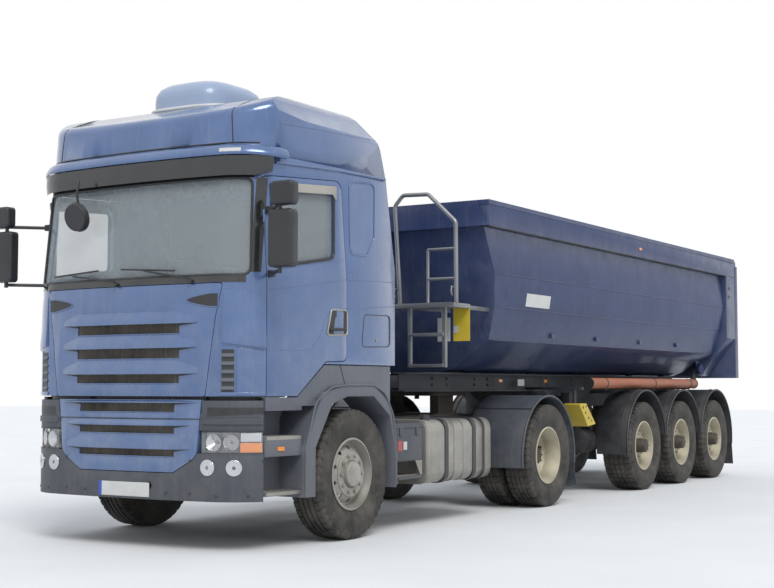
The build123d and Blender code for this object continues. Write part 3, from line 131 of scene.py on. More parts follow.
def reach_at_x(x):
    """Arc length at which the front outline has this x."""
    side = 1 if x >= 0 else -1
    x = min(abs(x), CAB_HALF - 0.5)
    n = bisect(OUTLINE, (x, math.inf)) - 1
    (x0, _), (x1, _) = OUTLINE[n], OUTLINE[n + 1]
    return side * (REACH[n] + (REACH[n + 1] - REACH[n]) * (x - x0) / max(x1 - x0, 1e-6))


def on_cab_side(points, out):
    """(y, z) points laid on the cab's left side, and out from it."""
    return [(side_x(y, z) + out, y, z) for y, z in points]


# Shapes

def turns(count, first=0.0):
    """Angles evenly round a circle."""
    return [first + 2 * math.pi * n / count for n in range(count)]


def oblong(u0, u1, v0, v1):
    """The corners of a rectangle."""
    return [(u0, v0), (u1, v0), (u1, v1), (u0, v1)]


def ring_about(centre, side, other, radius, steps):
    """A circle of points in the plane of two unit vectors."""
    return [tuple(centre + (side * math.cos(a) + other * math.sin(a)) * radius) for a in turns(steps)]


class Shape:
    """Collects plain forms, given in vehicle millimetres, into one mesh."""

    def __init__(self):
        self.mesh = bmesh.new()

    def add(self, points, faces):
        made = [self.mesh.verts.new(at(*p)) for p in points]
        for face in faces:
            self.mesh.faces.new([made[n] for n in face])
        return self

    def box(self, x0, x1, y0, y1, z0, z1):
        return self.prism(oblong(x0, x1, y0, y1), "z", z0, z1)

    def loft(self, rings, closed=True, capped=True):
        """Skins rings of equally many points."""
        count = len(rings[0])
        points = [p for ring in rings for p in ring]
        faces = []
        for r in range(len(rings) - 1):
            for n in range(count if closed else count - 1):
                m = (n + 1) % count
                faces.append((r * count + n, r * count + m, (r + 1) * count + m, (r + 1) * count + n))
        if capped and closed:
            faces.append(tuple(range(count))[::-1])
            faces.append(tuple((len(rings) - 1) * count + n for n in range(count)))
        return self.add(points, faces)

    def prism(self, outline, axis, a0, a1):
        """An outline drawn across an axis, as long as from a0 to a1."""
        def place(a, u, v):
            return {"x": (a, u, v), "y": (u, a, v), "z": (u, v, a)}[axis]
        return self.loft([[place(a, u, v) for u, v in outline] for a in (a0, a1)])

    def rod(self, start, end, radius, steps=20, end_radius=None):
        start, end = Vector(start), Vector(end)
        run = (end - start).normalized()
        side = run.orthogonal().normalized()
        ends = ((start, radius), (end, radius if end_radius is None else end_radius))
        return self.loft([ring_about(p, side, run.cross(side), r, steps) for p, r in ends])

    def tube(self, path, radius, steps=12, closed=False):
        """A round bar along a path, its ring turned with the path."""
        path = [Vector(p) for p in path]
        rings, side = [], None
        for n, p in enumerate(path):
            before = path[n - 1] if n or closed else p
            after = path[(n + 1) % len(path)] if n + 1 < len(path) or closed else p
            run = (after - before).normalized()
            side = (run.orthogonal() if side is None else side - run * side.dot(run)).normalized()
            rings.append(ring_about(p, side, run.cross(side), radius, steps))
        if closed:
            rings.append(rings[0])
        return self.loft(rings, capped=not closed)

    def lathe(self, profile, steps=64):
        """Turns (x, radius) points about a wheel's own axle."""
        rings = [[(x, MIDDLE + r * math.cos(a), r * math.sin(a)) for x, r in profile] for a in turns(steps)]
        return self.loft(rings + rings[:1], capped=False)

    def strip(self, x0, x1, z0, z1, out, thick, step=45):
        """A band that follows the cab's front from x0 to x1, its face out from the cab by so much."""
        return self.strip_reach(reach_at_x(x0), reach_at_x(x1), z0, z1, out, thick, step)

    def strip_reach(self, s0, s1, z0, z1, out, thick, step=25):
        """The same between two arc lengths; a height may be a function of the arc length."""
        low, top = (v if callable(v) else (lambda s, v=v: v) for v in (z0, z1))

        def section(s):
            return [(low(s), out - thick), (low(s), out), (top(s), out), (top(s), out - thick)]
        return self.band(s0, s1, section, step)

    def band(self, s0, s1, section, step):
        """A band along the front; section gives its (height, out) points at each arc length."""
        count = max(1, int(abs(s1 - s0) / step))
        rings = []
        for n in range(count + 1):
            s = s0 + (s1 - s0) * n / count
            x, y, nx, ny = along_front(s)
            rings.append([(x + nx * off, y + ny * off + lean(z), z) for z, off in section(s)])
        return self.loft(rings)

    def side_plate(self, outline, out, thick):
        """A plate of this (y, z) outline that follows the cab's left side."""
        return self.loft([on_cab_side(outline, out - thick), on_cab_side(outline, out)])

    def mirrored(self):
        """Adds the mirror image on the other side."""
        copy = self.mesh.copy()
        bmesh.ops.scale(copy, vec=(-1, 1, 1), verts=copy.verts)
        bmesh.ops.reverse_faces(copy, faces=copy.faces)
        return self.take(copy)

    def take(self, mesh):
        """Adds the faces of another mesh and frees it."""
        holder = bpy.data.meshes.new("part")
        mesh.to_mesh(holder)
        mesh.free()
        self.mesh.from_mesh(holder)
        bpy.data.meshes.remove(holder)
        return self

    def finish(self, name, material=None, weld=True):
        """The finished mesh, welded and with its faces turned outwards."""
        if weld:
            bmesh.ops.remove_doubles(self.mesh, verts=self.mesh.verts, dist=1e-5)
        bmesh.ops.recalc_face_normals(self.mesh, faces=self.mesh.faces)
        data = bpy.data.meshes.new(name)
        self.mesh.to_mesh(data)
        self.mesh.free()
        if material:
            data.materials.append(material)
        return data

    def make(self, name, body, material, bevel=0.0, smooth=38, replaces=(), weld=True):
        """Makes a named piece that rides on a body; bevel is in millimetres."""
        return place_mesh(name, self.finish(name, material, weld), body, bevel, smooth, replaces)


def add_object(name, data):
    piece = bpy.data.objects.new(name, data)
    bpy.context.scene.collection.objects.link(piece)
    return piece


def place_mesh(name, data, body, bevel=0.0, smooth=38, replaces=(), centre=None):
    data.shade_smooth()
    data.set_sharp_from_angle(angle=math.radians(smooth))
    piece = add_object(name, data)
    if centre is not None:
        piece.location = at(*centre)
    if bevel:
        add_bevel(piece, bevel)
    bpy.context.view_layer.update()
    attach(piece, body)
    if replaces:
        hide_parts(*replaces)
    return piece


def add_bevel(piece, width, angle=32):
    cut = piece.modifiers.new("bevel", "BEVEL")
    cut.width = width * MM
    cut.segments = 2
    cut.limit_method = "ANGLE"
    cut.angle_limit = math.radians(angle)
    return cut


def rounded(points, radius, steps=5):
    """An outline with each corner rounded; a point may bring its own radius."""
    result = []
    count = len(points)
    for n in range(count):
        p = Vector(points[n][:2])
        r = points[n][2] if len(points[n]) > 2 else radius
        to_last = Vector(points[n - 1][:2]) - p
        to_next = Vector(points[(n + 1) % count][:2]) - p
        half = to_last.angle(to_next) / 2
        run = min(r / math.tan(half), to_last.length * 0.49, to_next.length * 0.49)
        a = p + to_last.normalized() * run
        b = p + to_next.normalized() * run
        for k in range(steps + 1):
            t = k / steps
            q = a * (1 - t) ** 2 + p * 2 * t * (1 - t) + b * t ** 2
            result.append((q.x, q.y))
    return result


# Materials

class Tree:
    """The nodes of a material or world, made, set and linked by short calls."""

    def __init__(self, owner):
        owner.use_nodes = True
        self.nodes, self.links = owner.node_tree.nodes, owner.node_tree.links

    def feed(self, inputs, values):
        """Links each value that is another node's output, and sets the others."""
        for name, value in values.items():
            socket = inputs[name]
            if isinstance(value, bpy.types.NodeSocket):
                self.links.new(value, socket)
            else:
                socket.default_value = (*value, 1) if socket.type == "RGBA" else value

    def node(self, kind, output, values, **settings):
        """Makes a node and gives one of its outputs."""
        node = self.nodes.new(kind)
        for name, value in settings.items():
            setattr(node, name, value)
        self.feed(node.inputs, values)
        return node.outputs[output]

    def noise(self, source, scale, detail=4, rough=0.55):
        values = {"Vector": source, "Scale": scale, "Detail": detail, "Roughness": rough}
        return self.node("ShaderNodeTexNoise", "Fac", values)

    def spread(self, source, low, high, to_low=0.0, to_high=1.0):
        """Spreads the source's values from low to high over another range."""
        values = {"Value": source, "From Min": low, "From Max": high, "To Min": to_low, "To Max": to_high}
        return self.node("ShaderNodeMapRange", "Result", values)

    def maths(self, operation, a, b):
        return self.node("ShaderNodeMath", "Value", {0: a, 1: b}, operation=operation)

    def mix(self, share, a, b):
        return self.node("ShaderNodeMix", "Result", {"Factor": share, "A": a, "B": b}, data_type="RGBA")


def new_material(name):
    """A material with its tree, its shader's inputs and its object coordinates."""
    material = bpy.data.materials.new(name)
    tree = Tree(material)
    coords = tree.node("ShaderNodeTexCoord", "Object", {})
    return material, tree, tree.nodes["Principled BSDF"].inputs, coords


def surface(name, colour, shade, rough, metal=0.0, coat=0.0, dust=(0.20, 0.18, 0.15), amount=0.3,
            low=0.3, high=1.6, streak=0.0, grain=60, bump=0.0, spec=0.5):
    """A worn surface: two tones of its colour, dust that is thicker low down, and streaks that run down."""
    material, tree, shader, coords = new_material(name)
    tone = tree.spread(tree.noise(coords, 2.3), 0.35, 0.65)
    height = tree.spread(tree.node("ShaderNodeSeparateXYZ", "Z", {0: coords}), low, high, 1.0, 0.12)
    cloud = tree.spread(tree.noise(coords, 5.0, 8, 0.68), 0.36, 0.72)
    share = tree.maths("MULTIPLY", tree.maths("MULTIPLY", height, cloud), amount)
    base = tree.mix(share, tree.mix(tone, colour, shade), dust)
    if streak:
        stretched = tree.node("ShaderNodeMapping", "Vector", {"Vector": coords, "Scale": (9, 9, 0.5)})
        lines = tree.spread(tree.noise(stretched, 3.0, 6, 0.6), 0.52, 0.75)
        base = tree.mix(tree.maths("MULTIPLY", lines, streak), base, dust)
    blotch = tree.spread(cloud, 0, 1, max(0.02, rough - 0.08), min(1, rough + 0.14))
    values = {"Base Color": base, "Roughness": blotch, "Metallic": metal, "Specular IOR Level": spec}
    if coat:
        values.update({"Coat Weight": coat, "Coat Roughness": 0.08})
    if bump:
        grains = {"Strength": bump, "Distance": 0.002, "Height": tree.noise(coords, grain, 5)}
        values["Normal"] = tree.node("ShaderNodeBump", "Normal", grains)
    tree.feed(shader, values)
    return material


def clear(name, colour, opacity, rough=0.02):
    """Thin glass: mostly see-through with a clean reflection."""
    material, tree, shader, coords = new_material(name)
    film = tree.spread(tree.noise(coords, 6.0, 6), 0.3, 0.9)
    base = tree.mix(film, colour, tuple(min(1, c * 1.1 + 0.01) for c in colour))
    tree.feed(shader, {"Base Color": base, "Roughness": rough, "Alpha": opacity, "Specular IOR Level": 0.8})
    return material


BLUE = surface("cab_blue", (0.078, 0.142, 0.305), (0.060, 0.118, 0.265), 0.24, 0.30, 0.8,
               dust=(0.30, 0.32, 0.34), amount=0.30, streak=0.12, low=0.9, high=2.2, spec=0.6)
NAVY = surface("body_navy", (0.024, 0.040, 0.115), (0.034, 0.054, 0.14), 0.42, 0.25, 0.2,
               dust=(0.13, 0.145, 0.175), amount=0.45, streak=0.28, low=1.3, high=3.0, bump=0.15, grain=25)
CHASSIS = surface("chassis_dark", (0.016, 0.019, 0.028), (0.024, 0.026, 0.034), 0.6, 0.1,
                  dust=(0.11, 0.10, 0.09), amount=0.6, low=0.4, high=1.5, bump=0.2)
GREY = surface("grey_plastic", (0.105, 0.115, 0.14), (0.085, 0.095, 0.12), 0.5, dust=(0.20, 0.185, 0.165),
               amount=0.45, streak=0.18, low=0.4, high=1.6, bump=0.1)
SLATE = surface("bumper_plastic", (0.055, 0.062, 0.078), (0.045, 0.052, 0.066), 0.5,
                dust=(0.17, 0.16, 0.145), amount=0.4, streak=0.2, low=0.35, high=1.3, bump=0.1)
BLACK = surface("black_plastic", (0.016, 0.017, 0.020), (0.024, 0.025, 0.028), 0.45,
                dust=(0.12, 0.115, 0.105), amount=0.4, low=0.3, high=2.4, bump=0.1)
RUBBER = surface("tyre_rubber", (0.022, 0.022, 0.022), (0.034, 0.033, 0.031), 0.78,
                 dust=(0.16, 0.145, 0.125), amount=0.75, low=-0.6, high=2.5, bump=0.25, spec=0.3)
CREAM = surface("rim_cream", (0.56, 0.51, 0.37), (0.46, 0.42, 0.31), 0.5, dust=(0.19, 0.165, 0.13),
                amount=0.75, low=-0.6, high=1.2, bump=0.15)
SILVER = surface("rim_silver", (0.40, 0.38, 0.34), (0.30, 0.29, 0.26), 0.42, 0.35, dust=(0.17, 0.145, 0.12),
                 amount=0.7, low=-0.6, high=1.0, bump=0.15)
ALU = surface("tank_aluminium", (0.38, 0.365, 0.33), (0.30, 0.29, 0.265), 0.40, 0.55,
              dust=(0.20, 0.185, 0.16), amount=0.7, streak=0.5, low=0.3, high=1.2, bump=0.1)
STEEL = surface("worn_steel", (0.30, 0.31, 0.32), (0.22, 0.22, 0.23), 0.38, 0.7, amount=0.35, low=0.2,
                high=2.5, bump=0.1)
CHROME = surface("polished_steel", (0.62, 0.63, 0.65), (0.55, 0.56, 0.58), 0.16, 1.0, amount=0.1)
IRON = surface("forged_iron", (0.030, 0.028, 0.027), (0.055, 0.040, 0.030), 0.7, 0.2,
               dust=(0.14, 0.12, 0.10), amount=0.7, low=0.2, high=1.3, bump=0.3)
CLOTH = surface("seat_cloth", (0.045, 0.048, 0.055), (0.07, 0.07, 0.075), 0.9, amount=0.05, bump=0.5,
                grain=300)
CABIN = surface("cabin_lining", (0.19, 0.195, 0.20), (0.17, 0.175, 0.18), 0.8, amount=0.02, bump=0.02)
TERRACOTTA = surface("stowage_terracotta", (0.36, 0.115, 0.055), (0.29, 0.095, 0.05), 0.55, amount=0.35,
                     low=1.0, high=1.6, bump=0.1)
YELLOW = surface("chock_yellow", (0.62, 0.46, 0.03), (0.52, 0.38, 0.03), 0.5, amount=0.35, low=0.7, high=1.3,
                 bump=0.1)
WHITE = surface("white_enamel", (0.62, 0.62, 0.60), (0.54, 0.54, 0.52), 0.35, amount=0.25, low=0.2, high=3.5)
AMBER = surface("amber_lens", (0.78, 0.25, 0.02), (0.70, 0.20, 0.02), 0.18, coat=0.5, amount=0.1)
RED = surface("red_lens", (0.40, 0.02, 0.015), (0.33, 0.015, 0.012), 0.2, coat=0.5, amount=0.15)
MESH = surface("dusty_mesh", (0.10, 0.092, 0.078), (0.045, 0.042, 0.038), 0.8, dust=(0.23, 0.20, 0.16),
               amount=0.9, low=0.4, high=2.4, streak=0.5, bump=0.4)
BLUE_TAPE = surface("plate_blue", (0.03, 0.08, 0.45), (0.025, 0.07, 0.40), 0.4, amount=0.2)
SMOKE = clear("visor_smoke", (0.02, 0.022, 0.025), 0.88, 0.12)
# The window glass's pale colour is a painted reflection: a diffuse veil that stands in for the sky seen in
# the windows.
GLASS = clear("window_glass_sky_veil", (0.48, 0.54, 0.56), 0.26)
GLOSS = surface("gloss_black", (0.010, 0.011, 0.013), (0.014, 0.015, 0.017), 0.12, coat=0.6, amount=0.25,
                low=0.3, high=2.9)
COOLER = surface("cooler_shell", (0.30, 0.37, 0.50), (0.26, 0.33, 0.46), 0.35, coat=0.3, amount=0.2)
LENS = clear("lamp_lens", (0.80, 0.82, 0.82), 0.14, 0.03)
MIRROR = surface("mirror_glass", (0.55, 0.57, 0.58), (0.50, 0.52, 0.53), 0.04, 1.0, amount=0.05)

NODE_LOOKS = (
    (BLUE, "cab_shell door_left door_right front_flap cab_roof roof_cooler lower_grille"),
    (NAVY, "tipper_body tailgate"),
    (CHASSIS, "tractor_frame trailer_frame"),
    (IRON, "tractor_axles engine fifth_wheel knuckle_left knuckle_right tie_rod trailer_axles"),
    (SLATE, "side_boxes drive_mudguards bumper"),
    (BLACK, "dashboard trailer_mudguards ram_barrel mirrors_left mirrors_right"),
    (STEEL, "access_platform ram_stage_1 ram_stage_2 ram_stage_3 ram_stage_4"),
    (GLASS, "door_glass_left door_glass_right windscreen"),
    (SMOKE, "sun_visor"), (LENS, "headlamps"), (GREY, "front_arches"),
    (ALU, "fuel_tanks"), (TERRACOTTA, "stowage"), (CLOTH, "seats"),
)
EDGE_WIDTHS = (
    (9, "bumper"), (8, "lower_grille side_boxes engine"),
    (6, "cab_roof front_flap front_arches mirrors_left mirrors_right dashboard"),
    (5, "cab_shell tipper_body tailgate"), (4, "door_left door_right sun_visor headlamps fifth_wheel"),
    (3, "fuel_tanks trailer_frame drive_mudguards trailer_mudguards stowage"),
    (2, "tractor_frame"), (1.5, "access_platform"),
)


def by_node(table):
    """Turns (value, names) rows into a value for each name."""
    return {name: value for value, names in table for name in names.split()}


def dress_nodes():
    looks = by_node(NODE_LOOKS)
    for name, piece in NODES.items():
        piece.data.materials.clear()
        piece.data.materials.append(looks.get(name, RUBBER if name.startswith("tyre") else CREAM))


def smooth_nodes():
    """Welds the CAD nodes and rounds their edges, by their own width in millimetres or else by one."""
    widths = by_node(EDGE_WIDTHS)
    for name, piece in NODES.items():
        piece.data.shade_smooth()
        piece.modifiers.new("weld", "WELD").merge_threshold = 0.0001
        add_bevel(piece, widths.get(name, 1), 30).harden_normals = True


# Wheels

TREAD_PITCHES = 46
NUT_CIRCLE, NUT_R, VENT_CIRCLE = 152, 17, 214
NOTCH = ((0.0, 0), (0.66, 0), (0.70, 1), (0.96, 1))
SHOULDER_R = 486


def tyre_data(name, width, bead, blocks):
    """A tyre about its own centre, with grooves and notched shoulders; blocks cuts the middle ribs too."""
    half = width / 2
    groove, depth = 7, 13
    side = [(-bead, 290), (-bead - 2, 304), (-half * 0.86, 335), (-half * 0.97, 375), (-half, 415),
            (-half * 0.985, 450), (-half * 0.975, 452), (-half * 0.955, 482), (-half * 0.93, SHOULDER_R),
            (-half * 0.90, 512), (-half * 0.86, 524)]
    side = [(x, r, "edge" if r >= SHOULDER_R else "wall") for x, r in side]
    ribs = []
    edges = (-0.80, -0.47, -0.16, 0.16, 0.47, 0.80)
    for n, (a, b) in enumerate(zip(edges, edges[1:])):
        kind = "edge" if n in (0, 4) else "middle"
        top = TYRE_R - (3 if n in (0, 4) else 0.5)
        ribs += [(a * half + groove * (n > 0), top, kind), (b * half - groove * (n < 4), top, kind)]
        if n < 4:
            ribs += [(b * half + x, TYRE_R - depth, "groove") for x in (-groove, groove)]
    rows = side + ribs + [(-x, r, k) for x, r, k in side[::-1]]
    columns = [(p + share, low) for p in range(TREAD_PITCHES) for share, low in NOTCH]
    rings = []
    for turn, low in columns:
        a = 2 * math.pi * turn / TREAD_PITCHES
        ring = []
        for x, r, kind in rows:
            if low:
                r -= 9 if kind == "edge" else 7 if kind == "middle" and blocks else 0
            ring.append((x, MIDDLE + r * math.cos(a), r * math.sin(a)))
        rings.append(ring)
    return Shape().loft(rings + rings[:1], closed=False, capped=False).finish(name, RUBBER)


def holed(shape, holes):
    """A shape less the holes, each a rod from start to end."""
    body, cutter = (add_object("form", form.finish("form")) for form in (shape, holes))
    cut = body.modifiers.new("cut", "BOOLEAN")
    cut.operation = "DIFFERENCE"
    cut.object = cutter
    cut.solver = "EXACT"
    bpy.context.view_layer.update()
    data = bpy.data.meshes.new_from_object(body.evaluated_get(bpy.context.evaluated_depsgraph_get()))
    for piece in (body, cutter):
        bpy.data.objects.remove(piece)
    result = Shape()
    result.mesh.from_mesh(data)
    bpy.data.meshes.remove(data)
    return result


def around(count, radius, first=0.0):
    """(y, z) places evenly round a circle about a wheel's own centre."""
    return [(MIDDLE + radius * math.cos(a), radius * math.sin(a)) for a in turns(count, first)]


def barrel_profile(half):
    """The rim's barrel with its flange lips, as (x, radius) points."""
    inside = [(-half, 292), (-half, 282), (-half + 22, 277), (-half * 0.45, 252), (half * 0.45, 252),
              (half - 22, 277), (half, 282), (half, 292)]
    outside = [(half - 4, 298), (half - 10, 297), (half - 12, 286), (half * 0.5, 262), (-half * 0.5, 262),
               (12 - half, 286), (10 - half, 297), (4 - half, 298)]
    return inside + outside


def wheel_disc(x_rim, x_face, hole_r):
    """The pressed disc with its ten vent holes."""
    bend = x_face - (x_face - x_rim) * 0.35
    disc = Shape().lathe([(x_face, 90), (x_face, 176), (bend, 205), (x_rim, 238), (x_rim, 262),
                          (x_rim + 12, 262), (x_rim + 14, 240), (bend + 12, 210), (x_face + 13, 180),
                          (x_face + 13, 90)], steps=80)
    holes = Shape()
    for y, z in around(10, VENT_CIRCLE, math.pi / 10):
        holes.rod((min(x_rim, x_face) - 60, y, z), (max(x_rim, x_face) + 60, y, z), hole_r, 16)
    return holed(disc, holes)


def rim_shape(half, x_rim, x_face, hole_r, x_nut, nut_height):
    """A rim's barrel with its disc and ten wheel nuts."""
    shape = Shape().lathe(barrel_profile(half), steps=72)
    shape.take(wheel_disc(x_rim, x_face, hole_r).mesh)
    end = x_nut + nut_height
    for y, z in around(10, NUT_CIRCLE):
        shape.rod((x_nut, y, z), (end, y, z), NUT_R, 6)
        shape.rod((end - 2, y, z), (end + 8, y, z), NUT_R * 0.55, 12)
    return shape


def front_rim():
    """Front rim: its disc bulges outwards, with ten nuts and a flat round cap."""
    shape = rim_shape(125, 40, 92, 17, 104, 22)
    cap = [(60, 0), (60, 112), (104, 112), (112, 108), (134, 104), (142, 96), (144, 60), (144, 0)]
    shape.lathe(cap, steps=48)
    return shape.lathe([(100, 118), (112, 118), (112, 184), (106, 190), (100, 188)])


def inner_rim():
    """Inner drive rim, whose disc isn't seen: a barrel and a plain cone."""
    cone = [(60, 258), (150, 190), (176, 170), (176, 90), (162, 90), (162, 165), (140, 180), (50, 250)]
    return Shape().lathe(barrel_profile(125), steps=72).lathe(cone, steps=48)


def hub_end(x0, x1, radius):
    """The end of a hub that shows in a deep rim, with eight bolts."""
    profile = [(x0, 0), (x0, radius + 8), (x0 + 12, radius + 8), (x0 + 14, radius), (x1 - 30, radius - 6),
               (x1 - 12, radius - 14), (x1, radius - 30), (x1, 0)]
    shape = Shape().lathe(profile, steps=36)
    for y, z in around(8, radius - 18):
        shape.rod((x1 - 14, y, z), (x1 + 4, y, z), 8, 6)
    return shape


def put_wheel_part(name, data, body, centre, node=None):
    """Places a wheel's part, turned round on the right side; it may stand for a CAD node."""
    piece = place_mesh(name, data, body, smooth=32, centre=centre)
    if centre[0] < 0:
        piece.matrix_world = Matrix.Translation(at(*centre)) @ Matrix.Rotation(math.pi, 4, "Z")
    if node:
        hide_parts(node)


def wheels():
    tyres = {"front": tyre_data("front_tyre", 300, 112, False),
             "drive": tyre_data("drive_tyre", 300, 112, True),
             "trailer": tyre_data("trailer_tyre", 386, 148, True)}
    tyres["inner"] = tyres["drive"]
    rims = {"front": front_rim().finish("front_rim", SILVER),
            "drive": rim_shape(125, -55, -152, 18, -140, 24).finish("drive_rim", CREAM),
            "inner": inner_rim().finish("inner_rim", CREAM),
            "trailer": rim_shape(160, 30, 42, 17, 54, 24).finish("trailer_rim", CREAM)}
    hubs = {"drive": hub_end(-140, 10, 98).finish("drive_hub", IRON),
            "trailer": hub_end(40, 186, 88).finish("trailer_hub", IRON)}
    rows = [("front", "front", "front_wheel", FRONT_X, 0, "front"),
            ("drive_outer", "drive", "drive_wheels", DRIVE_OUTER_X, WHEELBASE, "drive"),
            ("drive_inner", "inner", "drive_wheels", DRIVE_INNER_X, WHEELBASE, None)]
    rows += [(f"trailer_{n}", "trailer", f"trailer_wheel_{n}", TRAILER_X, y, f"trailer_{n}")
             for n, y in enumerate(TRAILER_AXLES, 1)]
    for side, sign in SIDES:
        for label, kind, body, x, y, node in rows:
            body, place = f"{side}_{body}", (sign * x, y, AXLE_Z)
            for piece, data, part in (("tyre_tread", tyres, "tyre"), ("rim_disc", rims, "rim")):
                stands_for = node and f"{part}_{node}_{side}"
                put_wheel_part(f"{piece}_{label}_{side}", data[kind], body, place, stands_for)
            if kind in hubs:
                put_wheel_part(f"hub_{node}_{side}", hubs[kind], body, place)


# Helpers that lay details on the CAD surfaces

def front_point(x, z, out=0.0):
    """A point on the cab's front at this x and height."""
    px, py, nx, ny = along_front(reach_at_x(x))
    return px + nx * out, py + ny * out + lean(z), z


def surface_finder(node):
    """Gives a function that finds where a ray, in vehicle millimetres, meets the node."""
    tree = BVHTree.FromObject(NODES[node], bpy.context.evaluated_depsgraph_get())

    def find(start, direction):
        place = tree.ray_cast(at(*start), Vector(direction))[0]
        return None if place is None else (place.x / MM, place.y / MM + MIDDLE, place.z / MM)
    return find


def traced(find, starts, direction, out=0.0):
    """The points where rays from the starts meet a surface, moved out against the ray."""
    hits = [find(start, direction) for start in starts]
    back = Vector(direction) * -out
    return [tuple(Vector(hit) + back) for hit in hits if hit is not None]


def between(a, b, count):
    return [tuple(p + (q - p) * n / count for p, q in zip(a, b)) for n in range(count + 1)]


# Front and roof of the cab

UPPER_SLOTS = ((1658, 1737), (1467, 1550), (1276, 1350))
LOWER_SLOTS = ((1055, 1130), (890, 955), (715, 775))
FOG_LAMPS_X, FOG_LAMPS_Z = (795, 996), 640


def slot_mesh(shape, slots, half):
    """Dusty wire mesh set back in the slots."""
    y = CAB_NOSE + 31
    pitch = 13
    for z0, z1 in slots:
        shape.box(-half, half, y, y + 3, z0 + 1, z1 - 1)
        for n in range(-int(half / pitch), int(half / pitch) + 1):
            shape.box(n * pitch - 1.6, n * pitch + 1.6, y - 4, y, z0 + 1, z1 - 1)
        for n in range(1, 6):
            z = z0 + (z1 - z0) * n / 6
            shape.box(-half, half, y - 3, y + 1, z - 1.4, z + 1.4)


def slot_blade(shape, z, tall, half, out):
    """A blade with a sharp lower edge over a slot: its face runs up into the panel, its ends to points."""
    reach = reach_at_x(half)

    def section(s):
        share = max(0.02, min(1, (reach - abs(s)) / 190)) ** 0.7
        rise = tall * (0.35 + 0.65 * share)
        return [(z, -5), (z - 5 * share, out * share), (z + rise * 0.18, out * share),
                (z + rise * 0.55, out * share * 0.6), (z + rise, 0.4), (z + rise, -5)]
    shape.band(-reach, reach, section, 24)


def slot_shadow(shape, z, half, start):
    """The painted shadow under a blade, which runs on from the slot's end and thins out."""
    reach, inner = reach_at_x(math.copysign(half, start)), reach_at_x(start)

    def low(s):
        return z - 20 * max(0.06, (reach - s) / (reach - inner))
    shape.strip_reach(inner, reach, low, z, 3, 6, 20)


def corner_strip(name, body, look, bevel, *band):
    """The same strip on both corners of the front."""
    Shape().strip_reach(*band).mirrored().make(name, body, look, bevel)


def front_slots():
    """The mesh, blades and lips of both grilles and the painted shadows under the blades, each slot with its
    own blade height and reach.
    """
    grilles = (("upper", "flap", UPPER_SLOTS, 528, (92, 96, 104), (700, 700, 700), 36, 690),
               ("lower", "tractor", LOWER_SLOTS, 488, (18, 44, 96), (700, 640, 640), 28, 630))
    for label, body, slots, half, rises, reaches, out, shadow_x in grilles:
        # creases gathers the painted shadows under the blades
        mesh, blades, lips, creases = Shape(), Shape(), Shape(), Shape()
        slot_mesh(mesh, slots, half)
        for (z0, z1), rise, reach in zip(slots, rises, reaches):
            slot_blade(blades, z1, rise, reach, out)
            lips.strip(-half - 7, half + 7, z0 - 5, z0 + 2, 5, 12)
            # painted shadow under the blade, run on past both ends of the slot
            for start in (half, -half):
                slot_shadow(creases, z1 - 1, shadow_x, start)
        mesh.make(f"grille_mesh_{label}", body, MESH)
        blades.make(f"grille_blades_{label}", body, BLUE, 2)
        lips.make(f"grille_lips_{label}", body, BLUE, 2)
        creases.make(f"blade_shadows_{label}", body, BLACK)
    Shape().strip(-727, 727, 1000, 1008, 3, 6).make("lower_panel_seam", "tractor", BLACK)


def gap_shade_sheets():
    """Painted shade: dark sheets and a dark lip that close the view through the gap under the cab and stand
    in for the shade inside it.
    """
    shade_sheet = Shape()
    for x0, x1 in ((-384, 384), (456, 735), (-735, -456)):
        shade_sheet.box(x0, x1, -1345, -1335, 1080, 1171)
    shade_sheet.make("front_gap_shade", "tractor", BLACK)
    start = reach_at_x(742)
    lip = Shape().strip_reach(start, SIDE_REACH - 10, 1168, 1180, -74, 6)
    lip.box(1075, 1081, -1160, -800, 1168, 1180).mirrored().box(-742, 742, -1352, -1347, 1170, 1180)
    lip.make("cab_lower_lip", "cab", BLACK)
    # dark sheets painted for the shade in the gap behind the corners
    corner_strip("corner_gap_shade", "tractor", BLACK, 0, start, SIDE_REACH - 20, 1090, 1168, -84, 10)


def corner_intakes():
    """Teardrop intakes at the flap's upper corners, their points inwards, in slightly larger lips."""
    s0, s1 = reach_at_x(600), reach_at_x(872)
    for name, look, bevel, grow, out in (("intake_lips", BLUE, 3, 9, 5), ("intakes", BLACK, 1, 0, 6.5)):
        def edge(s, way, grow=grow):
            share = min(1, max(0.001, (abs(s) - s0 + grow) / (s1 - s0)))
            return 1910 - 4 * share + way * (48 * min(1, share * 1.3) ** 0.62 + grow)
        low, top = (lambda s, way=way, edge=edge: edge(s, way) for way in (-1, 1))
        intake = Shape().strip_reach(s0 - grow, s1 + grow, low, top, out, 10, 16)
        intake.mirrored().make(f"corner_{name}", "flap", look, bevel)


def corner_panels():
    """Bulging corner panels with a curved brow over an upright slatted vent, on both corners."""
    inner, side = reach_at_x(912), SIDE_REACH - 12
    vent0, vent1 = reach_at_x(905), reach_at_x(992)

    def bulge(s):
        share = (abs(s) - inner) / (side - inner)
        low, top = 1578 - 40 * share, 1990 - 60 * share ** 2
        return [(low, -4), (low, 20), (low + 26, 23), (low + 150, 15), (top - 40, 7), (top, 3), (top, -4)]
    panel = Shape().band(inner, side, bulge, 22)
    panel.strip_reach(vent1 + 22, side, 1186, lambda s: 1560 - 40 * (s - inner) / (side - inner), 7, 12)
    panel.strip_reach(vent0 - 16, side, 1182, 1208, 12, 18)
    panel.mirrored().make("corner_panels", "cab", BLUE, 5)
    corner_strip("corner_vent_backs", "cab", BLACK, 0, vent0, vent1, 1212, 1530, 2, 5)
    slats = Shape()
    for z in range(1230, 1479, 62):
        slats.band(vent0, vent1, lambda s, z=z: [(z, 1), (z - 6, 13), (z + 4, 15), (z + 24, 2)], 25)
    slats.mirrored().make("corner_vent_slats", "cab", GREY, 2)


